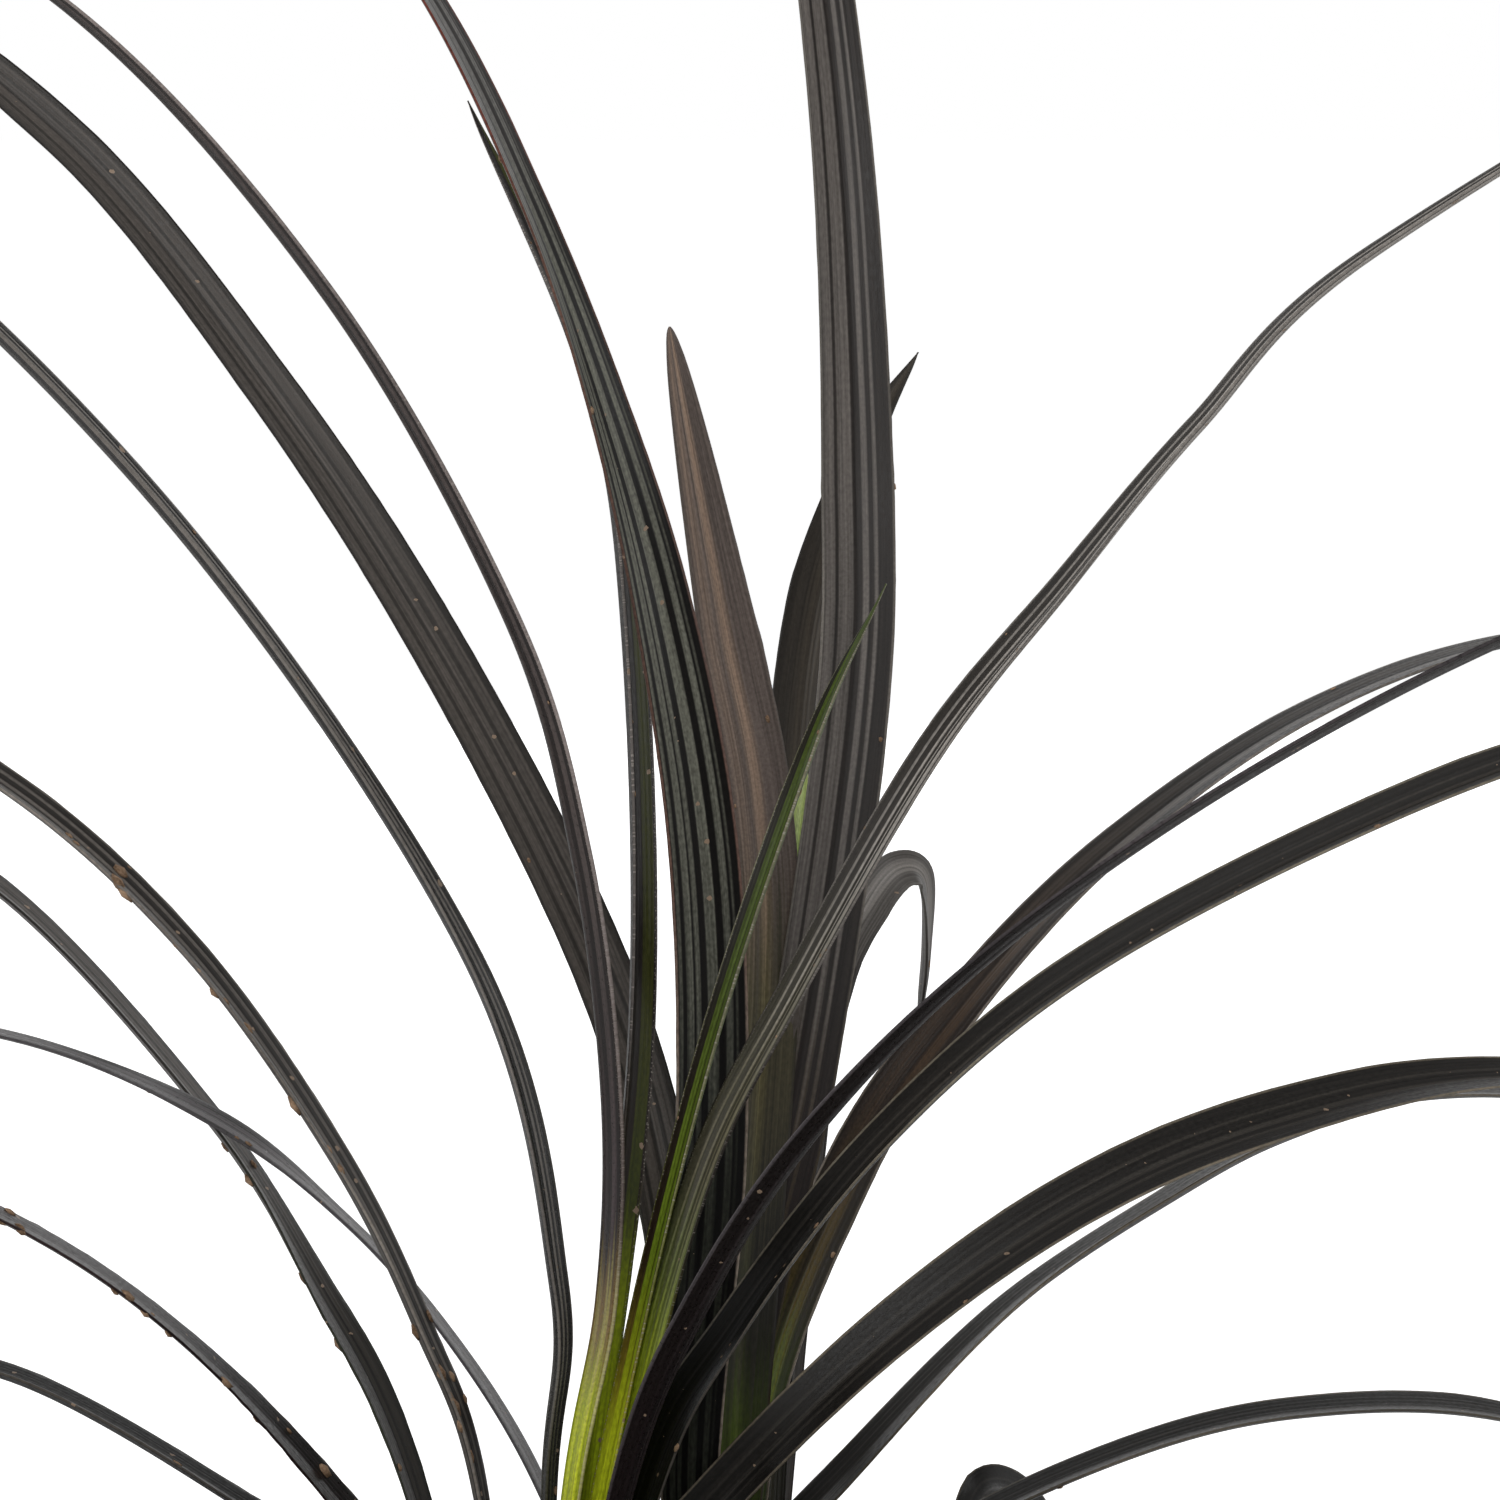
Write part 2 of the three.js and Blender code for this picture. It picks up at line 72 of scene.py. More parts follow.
# Settings that several nodes share.
BLEND = {"data_type": "RGBA"}
MULTIPLY = {"operation": "MULTIPLY"}
SCALE_AND_ADD = {"operation": "MULTIPLY_ADD"}
SMOOTH = {"interpolation_type": "SMOOTHSTEP"}
FLAT = {"voronoi_dimensions": "2D"}


def linear(hex_colour: str) -> Colour:
    """Turns an sRGB hex colour to linear light.

    Args:
        hex_colour: six hex digits.

    Returns:
        Red, green, blue and an alpha of 1.
    """
    channels = [int(hex_colour[start : start + 2], 16) / 255 for start in (0, 2, 4)]
    red, green, blue = (
        value / 12.92 if value <= 0.04045 else ((value + 0.055) / 1.055) ** 2.4 for value in channels
    )
    return red, green, blue, 1.0


def add(
    tree: Tree,
    kind: str,
    settings: dict[str, Any] | None = None,
    inputs: dict[str | int, Any] | tuple[Any, ...] = (),
    stops: list[tuple[float, Colour]] | None = None,
) -> bpy.types.bpy_prop_collection:
    """Adds a node with its settings and links.

    Args:
        tree: the node tree that takes the node.
        kind: the node's type name.
        settings: fields of the node and their values.
        inputs: a socket to link or a value to set for each input, by its name or number or in order.
        stops: places and colours of a colour ramp.

    Returns:
        The new node's outputs.
    """
    node = tree.nodes.new(kind)
    for name, value in (settings or {}).items():
        setattr(node, name, value)
    for name, value in inputs.items() if isinstance(inputs, dict) else enumerate(inputs):
        if isinstance(value, Socket):
            tree.links.new(value, node.inputs[name])
        else:
            node.inputs[name].default_value = value
    if stops:
        elements = node.color_ramp.elements
        while len(elements) < len(stops):
            elements.new(1.0)
        for element, (place, colour) in zip(elements, stops):
            element.position = place
            element.color = colour
    return node.outputs


def new_material(name: str) -> tuple[Material, Tree]:
    """Makes an empty material.

    Args:
        name: the material's name.

    Returns:
        The material and its node tree.
    """
    material = bpy.data.materials.new(name)
    material.use_nodes = True
    material.node_tree.nodes.clear()
    return material, material.node_tree


def end_material(
    tree: Tree, relief: Socket, strength: float, depth: float, look: dict[str, Any]
) -> None:
    """Ends a material with its relief, its shader and its output.

    Args:
        tree: the material's nodes.
        relief: the pattern that stands out.
        strength: how strongly it does.
        depth: how far it does, in millimetres.
        look: the shader's other inputs.
    """
    inputs = {"Strength": strength, "Distance": depth * MM, "Height": relief}
    bump = add(tree, "ShaderNodeBump", inputs=inputs)[0]
    shader = add(tree, "ShaderNodeBsdfPrincipled", inputs=look | {"Normal": bump})[0]
    add(tree, "ShaderNodeOutputMaterial", inputs={"Surface": shader})


# Leaf finishes --------------------------------------------------------------------------------


@dataclass(frozen=True)
class Stage:
    """A leaf's colours at one age: its ground, the ribs on it, and its thin margin.

    The stage is all that shows below low, and none of it shows above high. Both are heights above
    the soil, and the first stage of a leaf, at its tip, has neither. On some leaves the rib colour is
    painted sheen and painted highlight lines, and the margin colour a painted highlight.
    """

    ground: str
    rib_and_sheen: str
    margin: str
    low: float = 0.0
    high: float = 0.0


@dataclass(frozen=True)
class LeafPatterns:
    """Where a point lies on its leaf, and the natural patterns of the leaf there."""

    tree: Tree
    size: Socket  # the leaf's map in millimetres
    across: Socket  # share across the leaf
    aside: Socket  # distance from the midrib as a share of the width
    veins: Socket
    cells: Socket
    drift: Socket


@dataclass(frozen=True)
class LeafSkin:
    """The waxy epidermis of a strap leaf: smooth, gently glossy, with parallel ribs and veins.

    Stages run from the tip down. Each rib has a middle and a width as shares of the leaf's width,
    and a strength. On some finishes the ribs carry painted sheen and painted highlight lines, and
    the margins painted highlights.
    """

    name: str
    stages: tuple[Stage, ...]
    # ribs: pale bands on most finishes, painted sheen and painted highlight lines on some
    ribs: tuple[tuple[float, float, float], ...]
    roughness: float = 0.4
    gloss: float = 0.4
    grain: float = 0.2  # how strongly the cells' fine grain shows
    streak: float = 0.3  # how strongly the fine veins show
    relief: float = 0.35  # how strongly the veins stand out
    pores: float = 0.0  # how strongly the pale cells along the margins show
    border: float = 0.012  # softness of a rib's border
    margin: float = 0.03  # width of each margin
    dusty: bool = True

    IOR = 1.42
    VEIN_HEIGHT = 0.06  # millimetres
    CELL_RELIEF = 0.35  # how far the cells stand out beside the veins
    CELLS_PER_MM = 4.5  # cells are 0.03 mm; drawn coarse enough to show
    # Each natural pattern has its repeats in a millimetre, across and along, and its detail.
    VEINS = ((5.0, 0.04, 1.0), 3.0)  # fine parallel veins, one each 0.2 mm
    CELLS = ((CELLS_PER_MM, 0.5 * CELLS_PER_MM, 1.0), 1.0)
    DRIFT = ((0.05, 0.035, 1.0), 2.0)  # slow changes over 20 to 30 mm
    VEIN_SPAN = (0.34, 0.66)  # most of the veins' pattern lies between these
    CELL_SPAN = (0.3, 0.7)  # and most of the cells' between these
    DULLER, SLEEKER = 0.09, 0.07  # how far the roughness goes up and down from cell to cell
    WANDER = 0.03  # share of the width by which the ribs stray
    FRAY = 8.0  # millimetres by which the veins shift the border between two stages
    PORES_PER_MM = 4.5  # pale cells along the margins, one each 0.22 mm
    PORE_BAND = (0.43, 0.47)  # distances from the midrib over which they come up
    PORE_RADII = (0.14, 0.26)  # of a cell's core and rim, as shares of their spacing
    PORE_COLOUR = "c4bcb2"
    FLECKS_PER_MM = 0.3  # one speck of dust in each 3.3 mm
    FLECK_SHARE = 0.07  # radius of the largest speck as a share of that
    FLECK_RARITY = 3.0  # the higher it is, the fewer specks are large
    FLECK_BEND = 0.25  # millimetres by which a speck's outline is jagged
    FLECK_COLOUR = "9a8470"

    def rib_and_sheen_stops(self) -> list[tuple[float, Colour]]:
        """Lays the ribs out as ramp stops, light on each rib and black between them; on some finishes
        the light ribs are painted sheen and painted highlight lines.

        Returns:
            Places and colours for a ramp.
        """
        stops = []
        for middle, width, strength in self.ribs:
            start, end = middle - width / 2, middle + width / 2
            places = (start - self.border, start + self.border, end - self.border, end + self.border)
            for place, shade in zip(places, (0.0, strength, strength, 0.0)):
                stops.append((place, (shade, shade, shade, 1.0)))
        return stops

    def material(self) -> Material:
        """Builds the finish from the leaf's two UV maps.

        Returns:
            The material.
        """
        material, tree = new_material(f"leaf_epidermis_{self.name}")
        share, size = (
            add(tree, "ShaderNodeUVMap", {"uv_map": name})["UV"] for name in (SHARE_MAP, SIZE_MAP)
        )
        across = add(tree, "ShaderNodeSeparateXYZ", inputs=(share,))["X"]
        off_middle = add(tree, "ShaderNodeMath", {"operation": "SUBTRACT"}, (across, 0.5))[0]
        aside = add(tree, "ShaderNodeMath", {"operation": "ABSOLUTE"}, (off_middle,))[0]
        patterns = []
        for scale, detail in (self.VEINS, self.CELLS, self.DRIFT):
            place = add(tree, "ShaderNodeMapping", inputs={"Vector": size, "Scale": scale})[0]
            inputs = {"Vector": place, "Scale": 1.0, "Detail": detail}
            patterns.append(add(tree, "ShaderNodeTexNoise", inputs=inputs)[0])
        leaf = LeafPatterns(tree, size, across, aside, *patterns)
        colour = self.add_shading(leaf, self.add_stages(leaf))
        if self.pores:
            colour = self.add_pores(leaf, colour)
        if self.dusty:
            colour = self.add_flecks(leaf, colour)
        least, most = self.roughness - self.SLEEKER, self.roughness + self.DULLER
        rough = add(tree, "ShaderNodeMapRange", inputs=(leaf.cells, *self.CELL_SPAN, least, most))[0]
        inputs = (leaf.cells, self.CELL_RELIEF, leaf.veins)
        relief = add(tree, "ShaderNodeMath", SCALE_AND_ADD, inputs)[0]
        look = {"Base Color": colour, "Roughness": rough, "IOR": self.IOR}
        look["Specular IOR Level"] = self.gloss
        end_material(tree, relief, self.relief, self.VEIN_HEIGHT, look)
        return material

    def add_stages(self, leaf: LeafPatterns) -> Socket:
        """Colours ground, ribs and margins, with painted sheen and highlights where a finish has them,
        and blends the stages into each other by height.

        Args:
            leaf: the leaf's patterns; the veins fray the border between two stages.

        Returns:
            The colour.
        """
        tree = leaf.tree
        inputs = (leaf.drift, 2 * self.WANDER, -self.WANDER)
        wander = add(tree, "ShaderNodeMath", SCALE_AND_ADD, inputs)[0]
        place = add(tree, "ShaderNodeMath", {"use_clamp": True}, (leaf.across, wander))[0]
        # ribs: pale bands and lines, and on some finishes painted sheen and painted highlight lines
        rib_and_sheen = add(tree, "ShaderNodeValToRGB", inputs=(place,), stops=self.rib_and_sheen_stops())[0]
        # margins: pale margin lines, and on the glossy black finish painted highlights
        inputs = (leaf.aside, 0.5 - 1.5 * self.margin, 0.5 - 0.5 * self.margin)
        margin_and_highlight = add(tree, "ShaderNodeMapRange", SMOOTH, inputs)[0]
        position = add(tree, "ShaderNodeNewGeometry")["Position"]
        height = add(tree, "ShaderNodeSeparateXYZ", inputs=(position,))["Z"]
        frayed = add(tree, "ShaderNodeMath", SCALE_AND_ADD, (leaf.veins, 2 * self.FRAY * MM, height))[0]
        colour = None
        for stage in self.stages:
            painted = linear(stage.ground)
            for share, over in ((rib_and_sheen, stage.rib_and_sheen), (margin_and_highlight, stage.margin)):
                painted = add(tree, "ShaderNodeMix", BLEND, {0: share, 6: painted, 7: linear(over)})[2]
            if colour is None:
                colour = painted
                continue
            low, high = ((SOIL_LEVEL + end + self.FRAY) * MM for end in (stage.low, stage.high))
            reach = add(tree, "ShaderNodeMapRange", SMOOTH, (frayed, low, high, 1.0, 0.0))[0]
            colour = add(tree, "ShaderNodeMix", BLEND, {0: reach, 6: colour, 7: painted})[2]
        return colour

    def add_shading(self, leaf: LeafPatterns, colour: Socket) -> Socket:
        """Lightens and darkens the colour along the fine veins and from cell to cell.

        Args:
            leaf: the leaf's patterns.
            colour: the colour so far.

        Returns:
            The shaded colour.
        """
        tree = leaf.tree
        veins = (leaf.veins, *self.VEIN_SPAN, 1 - self.streak, 1 + self.streak)
        cells = (leaf.cells, *self.CELL_SPAN, 1 - self.grain, 1 + self.grain)
        shades = tuple(add(tree, "ShaderNodeMapRange", inputs=inputs)[0] for inputs in (veins, cells))
        shade = add(tree, "ShaderNodeMath", MULTIPLY, shades)[0]
        grey = add(tree, "ShaderNodeCombineColor", inputs=(shade, shade, shade))[0]
        darken = BLEND | {"blend_type": "MULTIPLY"}
        return add(tree, "ShaderNodeMix", darken, {0: 1.0, 6: colour, 7: grey})[2]

    def add_pores(self, leaf: LeafPatterns, colour: Socket) -> Socket:
        """Dots both margins with pale cells, which glint like a row of pinheads.

        Args:
            leaf: the leaf's patterns.
            colour: the colour so far.

        Returns:
            The colour with the dots.
        """
        tree, scale = leaf.tree, (self.PORES_PER_MM, self.PORES_PER_MM, 1.0)
        place = add(tree, "ShaderNodeMapping", inputs={"Vector": leaf.size, "Scale": scale})[0]
        distance = add(tree, "ShaderNodeTexVoronoi", FLAT, {"Vector": place, "Scale": 1.0})["Distance"]
        inputs = (leaf.aside, *self.PORE_BAND, 0.0, self.pores)
        margin = add(tree, "ShaderNodeMapRange", inputs=inputs)[0]
        dots = add(tree, "ShaderNodeMapRange", inputs=(distance, *self.PORE_RADII, margin, 0.0))[0]
        inputs = {0: dots, 6: colour, 7: linear(self.PORE_COLOUR)}
        return add(tree, "ShaderNodeMix", BLEND, inputs)[2]

    def add_flecks(self, leaf: LeafPatterns, colour: Socket) -> Socket:
        """Strews specks of pale dust, most of them too small to see.

        Args:
            leaf: the leaf's patterns.
            colour: the colour so far.

        Returns:
            The colour with the specks.
        """
        tree, scale = leaf.tree, (self.FLECKS_PER_MM, self.FLECKS_PER_MM, 1.0)
        inputs = {"Vector": leaf.size, "Scale": self.CELLS_PER_MM, "Detail": 1.0}
        jagged = add(tree, "ShaderNodeTexNoise", inputs=inputs)[1]
        inputs = (jagged, (self.FLECK_BEND, self.FLECK_BEND, 0.0), leaf.size)
        bent = add(tree, "ShaderNodeVectorMath", SCALE_AND_ADD, inputs)[0]
        place = add(tree, "ShaderNodeMapping", inputs={"Vector": bent, "Scale": scale})[0]
        spots = add(tree, "ShaderNodeTexVoronoi", FLAT, {"Vector": place, "Scale": 1.0})
        chance = add(tree, "ShaderNodeSeparateColor", inputs=(spots["Color"],))[0]
        power = add(tree, "ShaderNodeMath", {"operation": "POWER"}, (chance, self.FLECK_RARITY))[0]
        radius = add(tree, "ShaderNodeMath", MULTIPLY, (power, self.FLECK_SHARE))[0]
        within = {"operation": "LESS_THAN"}
        inside = add(tree, "ShaderNodeMath", within, (spots["Distance"], radius))[0]
        inputs = {0: inside, 6: colour, 7: linear(self.FLECK_COLOUR)}
        return add(tree, "ShaderNodeMix", BLEND, inputs)[2]


class Skin(Enum):
    """The leaf finishes, from new lime growth to old black straps.

    Each has its name, its stages from tip to foot, its ribs, which on some are painted sheen and
    painted highlight lines, and then what is unlike the usual.
    """

    # At the tip stage the grey of the ribs is painted sheen; lower down the ribs are the pale bands.
    BANDED = LeafSkin(
        "banded",
        (Stage("302c2a", "74726f", "7a4238"), Stage("0d0a08", "6f6f64", "6a5046", 112, 130),
         Stage("0a0807", "34362e", "a89a8c", 46, 74)),
        ((0.07, 0.05, 0.8), (0.21, 0.1, 0.9), (0.33, 0.07, 0.9), (0.54, 0.14, 1.0), (0.76, 0.09, 0.9),
         (0.86, 0.03, 0.5)),
        gloss=0.25, grain=0.3,
    )
    STRIPED = LeafSkin(
        "striped",
        (Stage("332f2b", "554f4a", "2c2825"), Stage("211e1a", "37332d", "2c2f1c", 30, 60)),
        ((0.13, 0.16, 0.8), (0.37, 0.18, 1.0), (0.58, 0.1, 1.0), (0.79, 0.18, 0.8)),
        grain=0.14,
    )
    RIBBED = LeafSkin(
        "ribbed",
        (Stage("282421", "6e6862", "857d75"),),
        ((0.16, 0.1, 0.9), (0.34, 0.09, 1.0), (0.57, 0.09, 0.9), (0.79, 0.09, 0.8)),
    )
    ASH = LeafSkin(
        "ash",
        (Stage("605c58", "8c8782", "6c6864"), Stage("3c3834", "4e4a45", "3a3632", 54, 64)),
        ((0.4, 0.36, 1.0),),
        border=0.08, grain=0.1,
    )
    VEINED = LeafSkin(
        "veined",
        (Stage("2c2724", "6e6863", "7c766f"), Stage("2a211e", "4e4234", "4c4232", 46, 68),
         Stage("241d14", "465218", "4c5a1e", 28, 42)),
        ((0.11, 0.14, 0.9), (0.33, 0.2, 0.9), (0.6, 0.08, 1.0), (0.74, 0.05, 0.9)),
        grain=0.16, dusty=False,
    )
    MOTTLED = LeafSkin(
        "mottled",
        (Stage("675c56", "9a8371", "60564f"), Stage("504b38", "706846", "4a4536", 58, 74),
         Stage("34322a", "50503a", "302d28", 42, 56), Stage("44521a", "667a2a", "4a3f2a", 28, 37)),
        ((0.2, 0.2, 0.5), (0.48, 0.16, 1.0)),
        border=0.06, grain=0.16, dusty=False,
    )
    YOUNG = LeafSkin(
        "young_green",
        (Stage("2a2820", "55662a", "86846a"), Stage("261c12", "6a801c", "74763e", 44, 66),
         Stage("7c6c22", "a0ae1c", "98903a", 34, 46), Stage("aab420", "c8d426", "c0c040", 30, 38)),
        ((0.43, 0.28, 0.9), (0.77, 0.3, 1.0)),
        pores=0.6,
    )
    OLIVE = LeafSkin(
        "olive",
        (Stage("1f1a17", "3a3d13", "706a66"), Stage("2a2018", "424a18", "443a2a", 44, 62),
         Stage("8c9a14", "aabc1c", "7c8e12", 38, 48)),
        ((0.78, 0.28, 1.0),),
        pores=0.6,
    )
    SAGE = LeafSkin(
        "sage",
        (Stage("35312d", "bcb5ad", "8a847e"), Stage("423f32", "78725c", "2c2720", 56, 74),
         Stage("525a2e", "7a844a", "2c2818", 40, 52), Stage("8c9c18", "b4c428", "7c7a1c", 33, 44)),
        ((0.26, 0.05, 0.7), (0.46, 0.05, 0.9), (0.64, 0.06, 1.0), (0.84, 0.14, 0.9)),
        relief=0.5, pores=0.25,
    )
    PLUM_GREEN_FOOT = LeafSkin(
        "plum_green_foot",
        (Stage("261f1d", "574d4a", "8f8480"), Stage("1c1413", "403436", "6e625d", 46, 70),
         Stage("7a6236", "a89e5c", "b8ae7a", 40, 47), Stage("b0bc18", "ced62c", "d8d48c", 32, 40)),
        ((0.17, 0.1, 0.9), (0.4, 0.12, 0.5), (0.75, 0.14, 0.8)),
        roughness=0.34, relief=0.5, pores=0.3,
    )
    # The light ribs towards one margin, fading across the leaf, are painted sheen; at the foot they are
    # pinkish lines.
    PLUM = LeafSkin(
        "plum",
        (Stage("1f1a19", "5e5759", "4a4446"), Stage("1f1818", "433639", "393133", 30, 50)),
        ((0.11, 0.06, 0.9), (0.2, 0.05, 0.7), (0.36, 0.1, 0.4), (0.6, 0.06, 0.2)),
        roughness=0.32,
    )
    SLOE = LeafSkin(
        "sloe",
        (Stage("1a1314", "342a2d", "3a2c2c"), Stage("140f0f", "271f20", "2c2220", 30, 50)),
        ((0.2, 0.14, 0.8), (0.5, 0.2, 0.6), (0.78, 0.1, 0.8)),
        roughness=0.34, gloss=0.3,
    )
    INK = LeafSkin(
        "ink",
        (Stage("24211e", "3f3b36", "8a8272"), Stage("0c0b0a", "1a1817", "504b45", 38, 56)),
        ((0.31, 0.05, 0.9), (0.5, 0.08, 1.0), (0.69, 0.06, 0.9)),
        gloss=0.25,
    )
    CHARCOAL = LeafSkin(
        "charcoal",
        (Stage("211e1b", "3a3631", "7c7262"), Stage("171513", "292623", "50493e", 24, 36)),
        ((0.3, 0.05, 0.9), (0.52, 0.1, 1.0), (0.7, 0.06, 0.9)),
    )
    # The pale ribs and margins of the tip stage are painted highlight lines on a near-black leaf.
    GLOSSY = LeafSkin(
        "glossy_black",
        (Stage("161311", "8a847d", "827c76"), Stage("1f1e17", "5a5a42", "403e2e", 28, 44)),
        ((0.3, 0.2, 0.15), (0.66, 0.07, 0.9), (0.8, 0.06, 0.9)),
        roughness=0.3, grain=0.12,
    )
    UMBER = LeafSkin(
        "umber",
        (Stage("302b25", "443d34", "28241f"), Stage("252314", "343019", "24211a", 30, 60)),
        ((0.55, 0.4, 1.0),),
        border=0.08, grain=0.1, dusty=False,
    )
    LIME = LeafSkin(
        "lime",
        (Stage("b4c672", "c4d48c", "c8cea0"), Stage("6f9a2e", "86ae3a", "8ab04a", 64, 76)),
        ((0.4, 0.3, 1.0),),
        roughness=0.5, border=0.06, dusty=False,
    )
    # The strong light rib right of the midrib is painted sheen.
    GREEN_FOOT = LeafSkin(
        "green_foot",
        (Stage("221f1d", "56514c", "78716a"), Stage("2a1f18", "4c3a2a", "80766c", 56, 76),
         Stage("2a2310", "5c4c14", "8c8276", 36, 52), Stage("3c4814", "6c7c20", "94877a", 30, 40)),
        ((0.28, 0.24, 0.5), (0.64, 0.22, 1.0)),
        border=0.05, dusty=False,
    )
    GREY_PLUM = LeafSkin(
        "grey_plum",
        (Stage("2a2626", "625d5f", "545052"),),
        ((0.26, 0.26, 1.0), (0.6, 0.18, 0.9)),
        roughness=0.34,
    )


# Leaf forms -----------------------------------------------------------------------------------


@dataclass(frozen=True)
class Leaf:
    """One strap leaf.

    The route runs along the midrib from the crown. turn gives degrees from facing the sky (0) to
    facing the front (90), from base to tip, and a minus value shows the underside to the front.
    channel is the depth of the fold along the midrib as a share of the width, and tip_start is the
    share of the length where it starts to taper. grit counts the flakes of soil on it, flake is
    their size beside the usual one, and clean is the share of the half width that they leave free.
    """

    skin: Skin
    width: float
    turn: tuple[float, ...]
    route: tuple[Point, ...]
    channel: float = 0.2
    tip_start: float = 0.7
    tip_power: float = 0.8
    teeth: float = 0.03
    grit: int = 5
    flake: float = 1.0
    clean: float = 0.55
    ring_gap: float = 1.1
    front: Point = (0.0, -1.0, 0.0)


@dataclass(frozen=True)
class BladeForm:
    """The section and outline that every leaf shares."""

    foot_width: float = 0.6  # share of the width where it clasps its neighbours
    foot_end: float = 0.25  # share of the length over which it widens
    tip_width: float = 0.14
    cad_tip_width: float = 0.6
    channel_power: float = 1.2
    middle: float = 0.42  # thickness at the midrib
    margin: float = 0.15  # thickness at the margins
    ribs: int = 9
    top_rib: float = 0.018
    under_rib: float = 0.035
    thin_tip: float = 0.15  # added to the share of the thickness that is left at the tip


FORM = BladeForm()
# Where the last rings stand, as shares of the usual gap before the tip.
TIP_RINGS = np.array([0.7, 0.45, 0.22, 0.08, 0.0])
LEAST_RINGS = 12
STEP = 1e-3  # share of the length over which a direction is measured


def through(points: np.ndarray, share: np.ndarray) -> np.ndarray:
    """Follows a smooth curve through points.

    Args:
        points: the points, one to a row.
        share: places along the curve from 0 to 1.

    Returns:
        One row for each place.
    """
    last = len(points) - 1
    ends = np.vstack([2 * points[0] - points[1], points, 2 * points[-1] - points[-2]])
    place = np.clip(share, 0, 1) * last
    index = np.minimum(place.astype(int), last - 1)
    step = (place - index)[:, None]
    before, start, end, after = (ends[index + offset] for offset in range(4))
    leave, arrive = (end - before) / 2, (after - start) / 2
    return (
        start
        + leave * step
        + (3 * (end - start) - 2 * leave - arrive) * step**2
        + (2 * (start - end) + leave + arrive) * step**3
    )


def unit(rows: np.ndarray) -> np.ndarray:
    """Scales each row to a length of one."""
    return rows / np.linalg.norm(rows, axis=1, keepdims=True)


class Blade:
    """The surface of one leaf, worked out along its whole length."""

    def __init__(self, leaf: Leaf, seed: int) -> None:
        """Samples the leaf's curve.

        Args:
            leaf: the leaf's sizes.
            seed: a number of its own for each leaf.
        """
        self.leaf = leaf
        self.seed = seed
        route = np.array(leaf.route)
        length = float(np.sum(np.linalg.norm(np.diff(route, axis=0), axis=1)))
        even = np.linspace(0, 1, max(LEAST_RINGS, round(length / leaf.ring_gap)) + 1)
        self.share = np.concatenate([even[:-1], 1 - (even[-1] - even[-2]) * TIP_RINGS])
        self.length = self.share * length
        self.centre = through(route, self.share) + np.array([0.0, 0.0, SOIL_LEVEL])
        self.tangent = unit(through(route, self.share + STEP) - through(route, self.share - STEP))
        front = np.array(leaf.front)
        heading = route[-1] - route[0]
        hand = 1 if float(np.cross(front, (0, 0, 1)) @ heading) < 0 else -1
        sky = unit(hand * np.cross(front, self.tangent))
        side = unit(front - (self.tangent @ front)[:, None] * self.tangent)
        turn = np.radians(through(np.array(leaf.turn)[:, None], self.share))
        self.up = sky * np.cos(turn) + side * np.sin(turn)
        self.across = np.cross(self.tangent, self.up)
        self.width = self.outline()

    def outline(self) -> np.ndarray:
        """Works out the full width along the leaf.

        Returns:
            The width at each ring.
        """
        rise = np.clip(self.share / FORM.foot_end, 0, 1)
        foot = rise * rise * (3 - 2 * rise)
        body = self.leaf.width * (FORM.foot_width + (1 - FORM.foot_width) * foot)
        left = np.clip((1 - self.share) / (1 - self.leaf.tip_start), 0, 1)
        return np.maximum(FORM.tip_width, body * left**self.leaf.tip_power)

    def section(self, offset: np.ndarray, upper: bool) -> np.ndarray:
        """Height of one face above the midrib's curve.

        Args:
            offset: places across, from -1 to 1.
            upper: whether it is the upper face.

        Returns:
            A row for each ring and a column for each place.
        """
        width = self.width[:, None]
        fold = np.maximum(0, width - FORM.cad_tip_width) * self.leaf.channel / 2
        channel = fold * (2 * np.abs(offset) ** FORM.channel_power - 1)
        thin = np.minimum(1, width / self.leaf.width + FORM.thin_tip)
        scale = thin * math.hypot(1, 2 * self.leaf.channel)
        skin = (FORM.margin + (FORM.middle - FORM.margin) * (1 - offset**2)) / 2 * scale
        wave = np.cos(math.pi * FORM.ribs * (offset + 1))
        if upper:
            return channel + skin + FORM.top_rib * scale * wave
        return channel - skin - FORM.under_rib * scale * wave * (1 - offset**4)

    def margin_teeth(self) -> np.ndarray:
        """Small unevenness of both margins.

        Returns:
            Millimetres to add to the left and right half widths at each ring.
        """
        source = np.random.default_rng(self.seed)
        rough = source.random((2, len(self.share))) ** 3
        fade = np.minimum(1, self.width / self.leaf.width)
        return self.leaf.teeth * rough * fade

    def at(self, share: float, offset: float, upper: bool) -> tuple[np.ndarray, ...]:
        """A place on the leaf's surface.

        Args:
            share: place along the leaf.
            offset: place across, from -1 to 1.
            upper: whether it is on the upper face.

        Returns:
            The point, the outward direction and the direction along the leaf.
        """
        ring = min(len(self.share) - 1, round(share * (len(self.share) - 1)))
        height = self.section(np.array([offset]), upper)[ring, 0]
        point = (
            self.centre[ring]
            + self.across[ring] * offset * self.width[ring] / 2
            + self.up[ring] * height
        )
        return point, self.up[ring] * (1 if upper else -1), self.tangent[ring]


def level_ring(angle: np.ndarray, radius: float | np.ndarray, height: float) -> np.ndarray:
    """Lays points round the Z axis.

    Args:
        angle: each point's direction.
        radius: how far out the points are.
        height: how high they are.

    Returns:
        One point to a row.
    """
    return np.column_stack([radius * np.cos(angle), radius * np.sin(angle), np.full(len(angle), height)])


